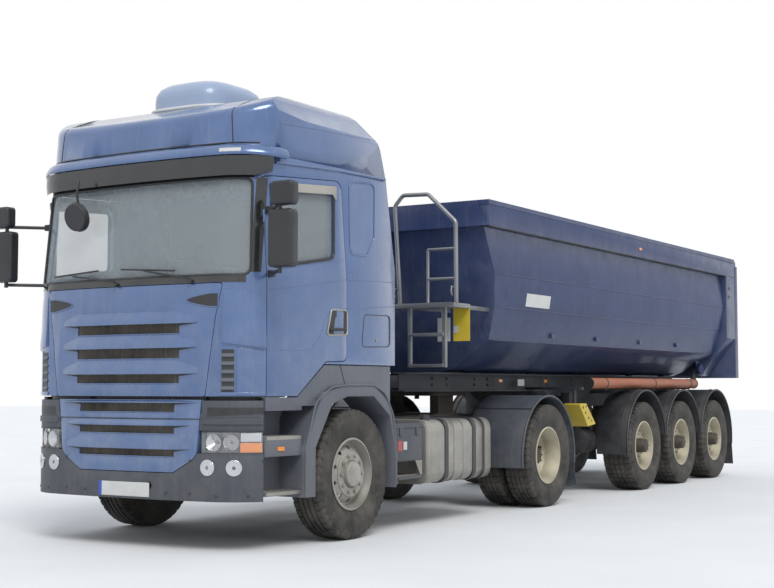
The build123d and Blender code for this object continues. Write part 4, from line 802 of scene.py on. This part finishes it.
def screen_trim():
    """Windscreen rubber, dark borders and wipers."""
    frame_line = rounded([(-1085, 2095), (1085, 2095), (1055, 2845), (-1055, 2845)], 60, 4)
    path = []
    for (x0, z0), (x1, z1) in zip(frame_line, frame_line[1:] + frame_line[:1]):
        steps = max(1, int(math.hypot(x1 - x0, z1 - z0) / 60))
        path += [front_point(x, z, -2) for x, z in between((x0, z0), (x1, z1), steps)[:-1]]
    Shape().tube(path, 11, 8, closed=True).make("windscreen_rubber", "cab", BLACK)
    dark = Shape().strip(-1060, 1060, 2040, 2092, 5, 9, 22)
    dark.strip(-1062, 1062, 2848, 2992, 5, 9, 22)
    for sign in (1, -1):
        dark.strip_reach(sign * (reach_at_x(1068) + 12), sign * (SIDE_REACH - 58), 2120, 2846, 4, 8, 22)
    dark.make("screen_borders", "cab", GLOSS)
    wipers = Shape()
    for pivot, elbow, tip0, tip1 in (((-95, 2052), (-585, 2140), (-818, 2145), (-300, 2172)),
                                     ((639, 2052), (190, 2150), (-55, 2172), (480, 2140))):
        bend = front_point(pivot[0] - 40, pivot[1] + 25, 26)
        wipers.tube([front_point(*pivot, 6), bend, front_point(*elbow, 24)], 7, 8)
        wipers.tube([front_point(x, z, 14) for x, z in between(tip0, tip1, 6)], 7, 8)
        wipers.rod(front_point(*pivot, 0), front_point(*pivot, 26), 16)
    wipers.make("wipers", "cab", BLACK)


def visor():
    """The blue brow over the visor with its marker lamp, the visor's blade and its holders."""
    side = SIDE_REACH + 60

    def brow_section(s):
        drop = 18 * max(0, (abs(s) - SIDE_REACH + 250) / 310)
        face = [(3022, 20), (3020, 74), (3040, 80), (3080, 66), (3104, 40), (3108, 14)]
        return [(z - drop, out) for z, out in face]
    Shape().band(-side, side, brow_section, 30).make("visor_brow", "cab", BLUE, 3)
    Shape().strip(835, 975, 3040, 3070, 80, 12).make("visor_marker", "cab", WHITE, 3)

    def visor_section(s):
        tall = 150 if abs(s) < SIDE_REACH - 160 else 150 - 0.28 * (abs(s) - SIDE_REACH + 160)
        middle = 3010 - tall * 0.5
        return [(3012 - tall, 44), (3010 - tall, 50), (middle, 64), (3012, 68), (3014, 56), (middle, 52)]
    visor = Shape().band(40 - SIDE_REACH, SIDE_REACH - 44, visor_section, 30)
    visor.make("visor_blade", "cab", SMOKE, replaces=["sun_visor"])
    holders = Shape()
    for x in (-940, -330, 330, 940):
        holders.strip(x - 14, x + 14, 2990, 3012, 54, 58)
    holders.make("visor_holders", "cab", BLACK, 2)


def front_mirror():
    mirror = Shape().rod((-487, -1525, 2600), (-487, -1480, 2612), 108, 28, 122)
    mirror.rod((-487, -1480, 2612), (-487, -1455, 2620), 122, 28, 96)
    mirror.tube([(-487, -1475, 2700), (-487, -1500, 2790), (-487, -1480, 2900)], 11, 8)
    mirror.make("front_mirror", "cab", BLACK, 4)


def bowl(shape, x, radius):
    """A headlamp's ridged reflector bowl that faces outward from the front at this x."""
    x, y, nx, ny = along_front(reach_at_x(x))
    z, depth = 828, 60
    rings = []
    for out, share in ((-14, 1), (-20, 0.9), (-depth * 0.7, 0.55), (-depth, 0.2)):
        ring = []
        for n, a in enumerate(turns(32)):
            ridge = radius * share * (1 if n % 2 else 0.93)
            across = ridge * math.cos(a)
            ring.append((x + nx * out - ny * across, y + ny * out + nx * across, z + ridge * math.sin(a)))
        rings.append(ring)
    shape.loft(rings, capped=False)


def headlamps():
    """What shows through and round the headlamps' glass, on both corners."""
    inner, outer, split = reach_at_x(748), SIDE_REACH - 30, reach_at_x(1030)
    corner_strip("headlamp_backs", "tractor", STEEL, 0, inner, outer, 752, 906, -66, 8)
    bowls = Shape()
    bowl(bowls, 838, 66)
    bowl(bowls, 975, 62)
    bowls.mirrored().make("headlamp_bowls", "tractor", CHROME, weld=False)
    corner_strip("indicator_lamps", "tractor", AMBER, 2, split, outer, 754, 826, -10, 50)
    rims = Shape().strip_reach(split - 5, split + 5, 748, 910, -6, 20)
    rims.strip_reach(inner - 6, outer, 742, 751, 3, 30).strip_reach(inner - 6, outer, 907, 917, 3, 30)
    rims.mirrored().make("headlamp_frames", "tractor", BLACK, 2)
    corner_strip("lamp_side_reflectors", "tractor", CHROME, 2, split + 6, outer, 834, 902, -30, 20)
    corner_strip("corner_ledges", "tractor", SLATE, 6, inner, outer, 962, 1010, 12, 22)
    # A flat dark band painted for the shade in the recess between the corner ledges and the cab.
    start, end = reach_at_x(790), SIDE_REACH - 25
    corner_strip("corner_recess_shade", "tractor", BLACK, 0, start, end,
                 lambda s: 1024 + 22 * (s - start) / (end - start), 1092, 1.5, 4)
    corner_strip("bumper_top_lines", "tractor", GREY, 2, reach_at_x(745), outer, 738, 745, 3, 10)


def bumper_details():
    """Fog lamps, screws and the blank registration plate."""
    for name, look, bevel, out0, out1, radius, steps, end_radius in (
            ("rings", CHROME, 3, -5, 7, 62, 32, 62), ("bowls", STEEL, 1, 0, 4, 50, 32, 46),
            ("bulbs", BLACK, 1, 0, 7, 19, 20, 15), ("glasses", LENS, 3, 4, 12, 51, 32, 42)):
        lamps = Shape()
        for x in FOG_LAMPS_X:
            start, end = (front_point(x, FOG_LAMPS_Z, out) for out in (out0, out1))
            lamps.rod(start, end, radius, steps, end_radius)
        lamps.mirrored().make(f"fog_lamp_{name}", "tractor", look, bevel)
    Shape().strip(-256, 260, 402, 512, 6, 5).make("registration_plate", "tractor", WHITE, 2)
    Shape().strip(-262, -228, 402, 512, 7, 5).make("plate_strip", "tractor", BLUE_TAPE)
    screws = Shape()
    for x, z in ((640, 690), (640, 440), (870, 430), (1080, 430), (1150, 690), (420, 440)):
        screws.rod(front_point(x, z), front_point(x, z, 4), 9, 10)
    screws.mirrored().make("bumper_screws", "tractor", BLACK)


def roof_details():
    find = surface_finder("cab_roof")
    seam = Shape()
    front = [(x, -2500, 3122) for x in range(-1080, 1081, 60)]
    seam.tube(traced(find, front, (0, 1, 0), -1), 7, 8)
    for sign in (1, -1):
        starts = between((sign * 905, -2500, 3128), (sign * 880, -2500, 3400), 8)
        line = traced(find, starts, (0, 1, 0), -1)
        line += traced(find, between((sign * 875, -1090, 4500), (sign * 850, -820, 4500), 5), (0, 0, -1), -1)
        seam.tube(line, 5, 8)
    seam.make("roof_seams", "cab", BLACK)
    line = traced(find, between((2500, -1000, 3290), (2500, 260, 3345), 16), (-1, 0, 0), -3)
    Shape().tube(line, 7, 8).mirrored().make("roof_creases", "cab", BLUE)
    line = on_cab_side([(-1060, 2975), (-700, 2990), (-245, 3008), (0, 3014), (430, 3024)], 5)
    Shape().tube(line, 11, 10).mirrored().make("drip_rails", "cab", BLUE)


def superellipse(half_x, half_y, middle_y, z, steps=48, power=3.2):
    """A rounded rectangle of points at one height."""
    ring = []
    for a in turns(steps):
        c, d = math.cos(a), math.sin(a)
        ring.append((half_x * math.copysign(abs(c) ** (2 / power), c),
                     middle_y + half_y * math.copysign(abs(d) ** (2 / power), d), z))
    return ring


def roof_cooler():
    """The air cooler on the roof: a low rounded housing on a pale base."""
    top = COOLER_TOP
    levels = [(3500, 366, 404), (top - 170, 376, 414), (top - 120, 374, 412), (top - 70, 352, 388),
              (top - 35, 306, 338), (top - 14, 246, 270), (top - 3, 160, 176), (top, 60, 70)]
    rings = [superellipse(w, d, -420 + (z - top) * 0.12, z) for z, w, d in levels]
    Shape().loft(rings).make("roof_cooler_housing", "cab", COOLER, smooth=60, replaces=["roof_cooler"])
    find = surface_finder("cab_roof")
    ring = [(x, y, 4500) for x, y, _ in superellipse(396, 436, -430, 0, 40)]
    seat = Shape().tube(traced(find, ring, (0, 0, -1), 14), 18, 10, closed=True)
    seat.make("roof_cooler_seat", "cab", WHITE)


# Sides of the cab

def panel_line(shape, points, radius=4):
    """A thin round crease along (y, z) points on the cab's side."""
    shape.tube(on_cab_side(points, 0), radius, 8)


def door_details(side, sign):
    def place(shape, name, look, bevel=0.0):
        if sign < 0:
            bmesh.ops.scale(shape.mesh, vec=(-1, 1, 1), verts=shape.mesh.verts)
        shape.make(f"{name}_{side}", f"{side}_door", look, bevel)
    window = rounded([(-1095, 2160), (-336, 2284), (-336, 2850), (-1095, 2803)], 60, 4)
    place(Shape().tube(on_cab_side(window, -1), 12, 8, closed=True), "window_rubber", BLACK)
    vane = rounded([(-1116, 2818), (-315, 2872), (-315, 2742), (-361, 2800), (-1107, 2748)], 14, 3)
    place(Shape().side_plate(vane, 14, 9), "wind_deflector", SILVER, 2)
    handle = rounded([(-416, 1668), (-158, 1680), (-158, 1862), (-361, 1862)], 26, 4)
    place(Shape().side_plate(handle, 1.5, 4), "handle_recess", BLACK, 1)
    frame_line = rounded([(-424, 1660), (-150, 1672), (-150, 1870), (-365, 1870)], 30, 4)
    place(Shape().tube(on_cab_side(frame_line, 2), 7, 8, closed=True), "handle_frame", SILVER)
    bar = [(side_x(y) + out, y, z)
           for out, y, z in ((4, -380, 1706), (22, -362, 1706), (22, -200, 1712), (4, -185, 1712))]
    place(Shape().tube(bar, 11, 8), "door_handle", BLACK)
    creases = Shape()
    panel_line(creases, [(-1136, 1983), (-934, 2012), (-660, 2052), (-386, 2092), (-245, 2111),
                         (-168, 2122)])
    panel_line(creases, [(-1136, 1530), (-934, 1532), (-625, 1540), (-514, 1640), (-432, 1790),
                         (-385, 1856), (-245, 1875), (-168, 1886)])
    panel_line(creases, [(-1121, 2128), (-751, 2196), (-336, 2262), (-245, 2277), (-172, 2290)], 3)
    place(creases, "door_creases", BLUE)
    glass = Shape()
    glass.prism(rounded(oblong(1364, 1538, 2154, 2536), 26, 3), "y", -1311, -1305)
    glass.prism(rounded(oblong(1392, 1550, 2612, 2748), 24, 3), "y", -1321, -1315)
    place(glass, "mirror_glass", MIRROR)


def cab_side_details():
    rims = Shape()
    recess = rounded([(-112, 2340), (150, 2340), (262, 2500), (268, 2965), (-128, 2938)], 70, 5)
    rims.tube(on_cab_side(recess, 1), 7, 8, closed=True)
    panel_line(rims, [(-138, 2126), (200, 2138), (590, 2146)])
    panel_line(rims, [(-138, 1890), (200, 1914), (592, 1938)])
    rims.mirrored().make("cab_side_creases", "cab", BLUE)
    inner = rounded([(-98, 2356), (143, 2356), (247, 2508), (252, 2948), (-112, 2924)], 60, 5)
    Shape().prism(inner, "x", 1229.5, 1231).mirrored().make("side_recesses", "cab", BLUE)
    hatch = rounded([(72, 1578), (520, 1590), (520, 1856), (110, 1848)], 46, 5)
    seam = Shape().tube([(CAB_HALF, y, z) for y, z in hatch], 4, 8, closed=True)
    seam.mirrored().make("locker_seams", "cab", BLACK)
    Shape().rod((1226, 300, 1640), (1236, 300, 1640), 16).mirrored().make("locker_locks", "cab", STEEL, 2)
    Shape().box(-1150, 1150, 396, 404, 1902, 2940).make("cabin_rear_lining", "cab", CABIN)


def step_details():
    treads = Shape()
    for z in (868, 446):
        for n in range(9):
            x = 990 + 27 * n
            if x + 12 < side_x(-746) - 8:
                treads.box(x, x + 12, max(-1146, -1146 + (x + 20 - SIDE_X) * 13.9), -746, z, z + 5)
        treads.side_plate(oblong(-1146, -742, z - 24, z + 4), 1, 16)
    treads.mirrored().make("step_treads", "tractor", ALU, 1)
    lamp = Shape().side_plate(rounded(oblong(-1025, -948, 760, 792), 6, 3), 9, 11)
    lamp.mirrored().make("step_markers", "tractor", AMBER, 3)
    seam = Shape().tube([(1231, -250, 1422), (1231, -180, 1268)], 3.5, 6)
    seam.mirrored().make("arch_seams", "tractor", BLACK)
    outer = [(-736, 400), (-736, 773), (-600, 1130), (-380, 1245), (-150, 1262), (250, 1262), (430, 1195),
             (560, 1010), (612, 683), (612, 400)]
    lip = rounded(outer + [(700, 300), (-800, 300)], 150, 5)
    lip = [(y, z) for y, z in lip if z > 395]
    lip.sort(key=lambda p: math.atan2(p[1] - 300, -(p[0] + 60)))
    Shape().tube([(1238, y, z) for y, z in lip], 9, 8).mirrored().make("arch_lips", "tractor", GREY)


# Tanks and boxes

def strap(shape, y0, y1, grow):
    """A band round a tank, standing out from it by grow."""
    low, top, side = 375 - grow, 950 + grow, 1200 + grow
    corners = [(520, low, 110), (side, low, 110), (side, top, 110), (520, top, 40)]
    shape.prism(rounded(corners, 0, 8), "y", y0, y1)


def tank_details():
    dark, seams = Shape(), Shape()
    for y0, y1 in ((1523, 1587), (2056, 2120), (2268, 2300)):
        strap(dark, y0, y1, 8)
    for y0 in (1206, 1700, 1880, 2408):
        strap(seams, y0, y0 + 8, 3)
    dark.mirrored().make("tank_straps", "tractor", BLACK, 2)
    seams.mirrored().make("tank_seams", "tractor", ALU, 1)
    cap = Shape().rod((1080, 1360, 945), (1080, 1360, 985), 48, 28)
    cap.rod((1080, 1360, 985), (1080, 1360, 996), 40, 28)
    cap.mirrored().make("tank_caps", "tractor", BLACK, 3)
    box = Shape().box(518, 1207, 648, 1126, 886, 930)
    for y in (742, 1022):
        box.box(1200, 1213, y - 22, y + 22, 820, 892)
    box.make("battery_box_lid", "tractor", SLATE, 6)
    Shape().box(1200, 1202.5, 700, 772, 690, 780).make("battery_box_sign", "tractor", RED, 1)
    Shape().box(1200, 1202.5, 792, 852, 700, 770).make("battery_box_label_plate", "tractor", WHITE, 1)
    step = Shape()
    for n in range(7):
        step.box(962 + 34 * n, 976 + 34 * n, 720, 1116, 470, 476)
    step.prism([(1118, 470), (1118, 600), (1000, 600), (1090, 470)], "x", 1190, 1198)
    step.make("box_step_treads", "tractor", ALU, 1)


def arc_path(y, z, radius, first, last, x):
    """Points of an upright arc between two angles in degrees."""
    angles = [math.radians(first + (last - first) * n / 28) for n in range(29)]
    return [(x, y + radius * math.cos(a), z + radius * math.sin(a)) for a in angles]


def guard_details():
    """Rolled lips and seams of the mudguards over the drive wheels and the trailer's."""
    y, z, radius = 3680, 518, 641
    lips = Shape().tube(arc_path(y, z, radius - 5, -8, 188, 1241), 12, 8).mirrored()
    lips.make("drive_guard_lips", "tractor", SLATE)
    seams = Shape()
    for angle in (math.radians(52), math.radians(128)):
        edge = (y + radius * math.cos(angle), z + radius * math.sin(angle))
        seams.rod((592, *edge), (1246, *edge), 5, 8)
    seams.mirrored().make("drive_guard_seams", "tractor", BLACK)
    lips = Shape()
    for y, first, last in zip(TRAILER_AXLES, (8, 8, -10), (190, 172, 172)):
        lips.tube(arc_path(y, 560, 646, first, last, 1230), 12, 8)
        lips.tube(arc_path(y, 560, 650, 20, 160, 1150), 6, 8)
    lips.mirrored().make("trailer_guard_lips", "trailer", BLACK)


# Trailer

def stowage_details():
    """Bands round the stowage tube, and the wheel chock."""
    bands = Shape()
    for y, half, radius in ((5168, 8, 66), (5600, 16, 66), (7155, 16, 66), (8465, 16, 66), (8702, 10, 68)):
        bands.rod((1050, y - half, 1290), (1050, y + half, 1290), radius, 28)
    bands.make("stowage_bands", "trailer", BLACK, 2)
    chock = [(4556, 1052), (4598, 1063), (4742, 1063), (4996, 829), (4778, 806)]
    Shape().prism(chock, "x", 1007, 1203).make("wheel_chock", "trailer", YELLOW, 4)
    holes = Shape()
    for y, z, r in ((4650, 1020, 17), (4720, 960, 17), (4800, 900, 17), (4880, 870, 13), (4735, 1030, 13)):
        holes.rod((1190, y, z), (1204.5, y, z), r, 20)
    holes.make("chock_holes", "trailer", BLACK)


def trailer_details():
    """Air tank, side lamps, bolts, tipping hinge and rear lamps."""
    tank = Shape().rod((700, 5610, 600), (700, 5880, 600), 140, 36)
    tank.rod((700, 5590, 600), (700, 5610, 600), 90, 36, 140)
    tank.rod((700, 5880, 600), (700, 5900, 600), 140, 36, 90)
    tank.box(640, 660, 5700, 5730, 600, 1010)
    tank.box(640, 660, 5800, 5830, 600, 1010)
    tank.make("air_tank", "trailer", BLACK, 3)
    markers = Shape()
    for y in (3873, 5012, 7000, 8900):
        markers.box(570, 580, y - 40, y + 40, 1296, 1330)
    markers.mirrored().make("side_markers", "trailer", AMBER, 3)
    Shape().box(571, 574, 4300, 4460, 1258, 1330).make("neck_sign", "trailer", WHITE, 1)
    bolts = Shape()
    for y in (2500, 2800, 3400, 3700, 5200, 5900, 7100, 8300):
        for z in (1270, 1330):
            bolts.rod((506, y, z), (520, y, z), 13, 6)
    bolts.mirrored().make("frame_bolts", "trailer", IRON)
    hub = Shape()
    for r, x in ((88, 935), (70, 941), (34, 946)):
        hub.rod((905, 9400, 1490), (x, 9400, 1490), r, 40)
    hub.mirrored().make("hinge_bosses", "tipper", NAVY, 4)
    lamps, ambers = Shape(), Shape()
    for x in (760, 1000):
        lamps.box(x - 70, x + 70, 9950, 9968, 500, 580)
    ambers.box(860, 900, 9950, 9968, 500, 580)
    lamps.mirrored().make("rear_lamps", "trailer", RED, 4)
    ambers.mirrored().make("rear_indicators", "trailer", AMBER, 3)
    Shape().box(-260, 260, 9950, 9956, 485, 595).make("rear_plate", "trailer", WHITE, 2)


# Tipping body

FOLDS = ((1165, 2800), (1238, 2365), (1185, 2040), (1065, 1717), (640, 1450))


def fold_x(z):
    """Half width of the folded side at a height."""
    for (x0, z0), (x1, z1) in zip(FOLDS, FOLDS[1:]):
        if z1 <= z <= z0:
            return x0 + (x1 - x0) * (z0 - z) / (z0 - z1)
    return FOLDS[0][0]


def on_side(shape, y0, y1, z0, z1):
    """A flat plate laid on one facet of the body's side."""
    low, top = fold_x(z0), fold_x(z1)
    shape.prism([(top - 2, z1), (top + 3, z1), (low + 3, z0), (low - 2, z0)], "y", y0, y1)


def body_details():
    """Lines, rim, brackets and markers of the body's sides, the same on both but for the blank plate."""
    dashes = Shape()
    for n in range(38):
        y = 2560 + 180 * n
        on_side(dashes, y, y + 84, 2722, 2738)
    dashes.mirrored().make("side_dashes", "tipper", BLACK)
    shadow = Shape().box(1160, 1276, 2290, 9860, 2806, 2814).mirrored()
    shadow.make("rim_shadow_lip", "tipper", BLACK)
    cap = Shape().box(1150, 1279, 2276, 9862, 3052, 3068).box(1268, 1280, 2276, 9862, 3020, 3068)
    cap.box(0, 1279, 2272, 2290, 3020, 3068)
    cap.mirrored().make("rim_cap", "tipper", NAVY, 5)
    plate = Shape()
    on_side(plate, 3240, 3810, 2072, 2206)
    plate.make("side_plate", "tipper", WHITE, 1)
    rests = Shape()
    for y in (4051, 5263, 6600, 7900):
        x = fold_x(1790)
        rests.box(x - 20, x + 34, y - 30, y + 30, 1770, 1812)
    rests.mirrored().make("side_brackets", "tipper", NAVY, 5)
    Shape().box(1275, 1285, 6190, 6270, 2896, 2930).mirrored().make("rim_markers", "tipper", AMBER, 3)
    welds = Shape()
    for x, z in FOLDS[1:4]:
        welds.tube([(x + 1, 2420 + (2815 - z) * 0.3, z), (x + 1, 9488, z)], 5, 8)
    welds.mirrored().make("fold_lines", "tipper", NAVY)
    latches = Shape()
    for z in (2500, 2620):
        latches.box(1275, 1279, 9600, 9660, z, z + 34)
    latches.mirrored().make("post_slots", "tipper", BLACK)


def platform_details():
    """Blank sign boards on the body's front wall, and the platform's treads and ladder hooks."""
    boards = Shape().box(885, 1022, 1950, 1956, 1680, 1906).box(930, 960, 1950, 1956, 1900, 1992)
    boards.make("sign_board_grey", "tipper", WHITE, 1)
    Shape().box(1058, 1236, 1950, 1956, 1682, 1992).make("sign_board_yellow", "tipper", YELLOW, 1)
    Shape().box(1062, 1110, 1946, 1950, 1760, 1830).make("sign_board_small", "tipper", WHITE, 1)
    treads = Shape()
    for n in range(11):
        treads.box(612 + 56 * n, 640 + 56 * n, 1646, 1954, 2030, 2036)
    treads.make("platform_treads", "tipper", STEEL, 1)
    hooks = Shape()
    for x in (584, 1207):
        hooks.tube([(x, 1720, 2180), (x, 1650, 2180), (x, 1640, 2130), (x, 1660, 2100)], 9, 8)
    hooks.make("platform_hooks", "tipper", STEEL)


# Seats

def cushion(name, x0, x1, y0, y1, z0, z1, crown, lean_back=0.0):
    """A crowned closed pad whose sides pull in between its corners, with two sewn channels in its face."""
    half_x, half_y = (x1 - x0) / 2, (y1 - y0) / 2

    def put(cx, cy, v):
        """A point of the pad: cx and cy from -1 to 1, v from its base to its face."""
        rise = crown * (1 - cx * cx) * (1 - cy * cy)
        groove = 7 * sum(math.exp(-((cy - row) / 0.05) ** 2) for row in (0.33, -0.33)) * (v > 0.9)
        z = z0 + (z1 - crown - z0) * v + (rise - groove) * v
        return x0 + half_x * (1 + cx), y0 + half_y * (1 + cy) + lean_back * (z - z0), z
    layers = []
    for v in (n / 6 for n in range(7)):
        swell, pull = 1 - 0.10 * abs(2 * v - 1) ** 3, 0.06 * math.sin(math.pi * v)
        ring = []
        for cx, cy, _ in superellipse(1, 1, 0, 0, 56, 5.5):
            r = swell - pull * (1 - max(abs(cx), abs(cy)) ** 8)
            ring.append((cx * r, cy * r))
        layers.append([put(cx, cy, v) for cx, cy in ring])
    for share in (0.85, 0.65, 0.45, 0.25, 0.05):
        layers.append([put(cx * share, cy * share, 1) for cx, cy in ring])
    piece = Shape().loft(layers).make(name, "cab", CLOTH, smooth=70, replaces=["seats"])


def cab_seats():
    """Two sprung seats and the bunk behind them."""
    for side, sign in SIDES:
        x0, x1 = sorted((sign * 312, sign * 808))
        cushion(f"seat_cushion_{side}", x0, x1, -555, -125, 1690, 1848, 26)
        cushion(f"seat_back_{side}", x0 + 8, x1 - 8, -118, 18, 1852, 2380, 10, 0.10)
        cushion(f"seat_head_{side}", x0 + 110, x1 - 110, -66, 20, 2390, 2540, 8, 0.10)
        base = Shape().box(x0 + 60, x1 - 60, -520, -110, 1494, 1560)
        base.box(x0 + 30, x1 - 30, -545, -90, 1560, 1688)
        base.make(f"seat_base_{side}", "cab", BLACK, 14, replaces=["seats"])
    cushion("bunk_mattress", -1150, 1150, 125, 525, 1760, 1898, 14)
    Shape().box(-1155, 1155, 120, 530, 1494, 1758).make("bunk_base", "cab", CABIN, 10, replaces=["seats"])


# Camera, light and floor

CAMERA = (7461.0, -9598.6, 1250.1)
CAMERA_YAW, CAMERA_PITCH = 31.747, 3.825
FOCAL_PX, PHOTO_WIDTH, SENSOR = 1384.86, 774, 36
FLOOR_REACH = 60


def place_camera():
    data = bpy.data.cameras.new("camera")
    data.sensor_width = SENSOR
    data.lens = SENSOR * FOCAL_PX / PHOTO_WIDTH
    data.clip_end = 200
    camera = add_object("camera", data)
    camera.location = at(*CAMERA)
    camera.rotation_euler = (math.radians(90 + CAMERA_PITCH), 0, math.radians(CAMERA_YAW))
    bpy.context.scene.camera = camera


def light_scene():
    """A soft sun, and a sky that is white where it is seen straight, in reflections or through glass."""
    world = bpy.data.worlds.new("studio")
    bpy.context.scene.world = world
    tree = Tree(world)
    coords = tree.node("ShaderNodeTexCoord", "Generated", {})
    up = tree.spread(tree.node("ShaderNodeSeparateXYZ", "Z", {0: coords}), -0.1, 0.9)
    sky = tree.mix(up, (0.62, 0.64, 0.66), (0.80, 0.86, 0.95))
    rays = tree.nodes.new("ShaderNodeLightPath").outputs
    direct = tree.maths("MAXIMUM", rays["Is Camera Ray"], rays["Is Glossy Ray"])
    seen = tree.mix(tree.maths("MAXIMUM", direct, rays["Is Transmission Ray"]), sky, (1.0, 1.0, 1.0))
    tree.feed(tree.nodes["Background"].inputs, {"Color": seen, "Strength": 1.0})
    lamp = bpy.data.lights.new("key", "SUN")
    lamp.energy = 1.7
    lamp.angle = math.radians(25)
    add_object("key", lamp).rotation_euler = (math.radians(42), math.radians(12), math.radians(35))


def lay_floor():
    data = bpy.data.meshes.new("floor")
    corners = oblong(-FLOOR_REACH, FLOOR_REACH, -FLOOR_REACH, FLOOR_REACH)
    data.from_pydata([(*corner, 0) for corner in corners], [], [(0, 1, 2, 3)])
    floor = add_object("floor", data)
    floor.location = (0, 0, CAD_BOX[0].z - 0.001)
    pale, tree, shader, coords = new_material("pale_floor")
    tone = tree.spread(tree.noise(coords, 0.8), 0.3, 0.7)
    colour = tree.mix(tone, (0.74, 0.74, 0.73), (0.78, 0.78, 0.77))
    tree.feed(shader, {"Base Color": colour, "Roughness": 0.9})
    data.materials.append(pale)


place_camera()
light_scene()
lay_floor()
bpy.context.scene.view_settings.view_transform = "Standard"
dress_nodes()
wheels()
front_slots()
gap_shade_sheets()
corner_intakes()
corner_panels()
screen_trim()
visor()
front_mirror()
headlamps()
bumper_details()
roof_details()
roof_cooler()
for side_name, side_sign in SIDES:
    door_details(side_name, side_sign)
cab_side_details()
step_details()
tank_details()
guard_details()
stowage_details()
trailer_details()
body_details()
platform_details()
cab_seats()
smooth_nodes()
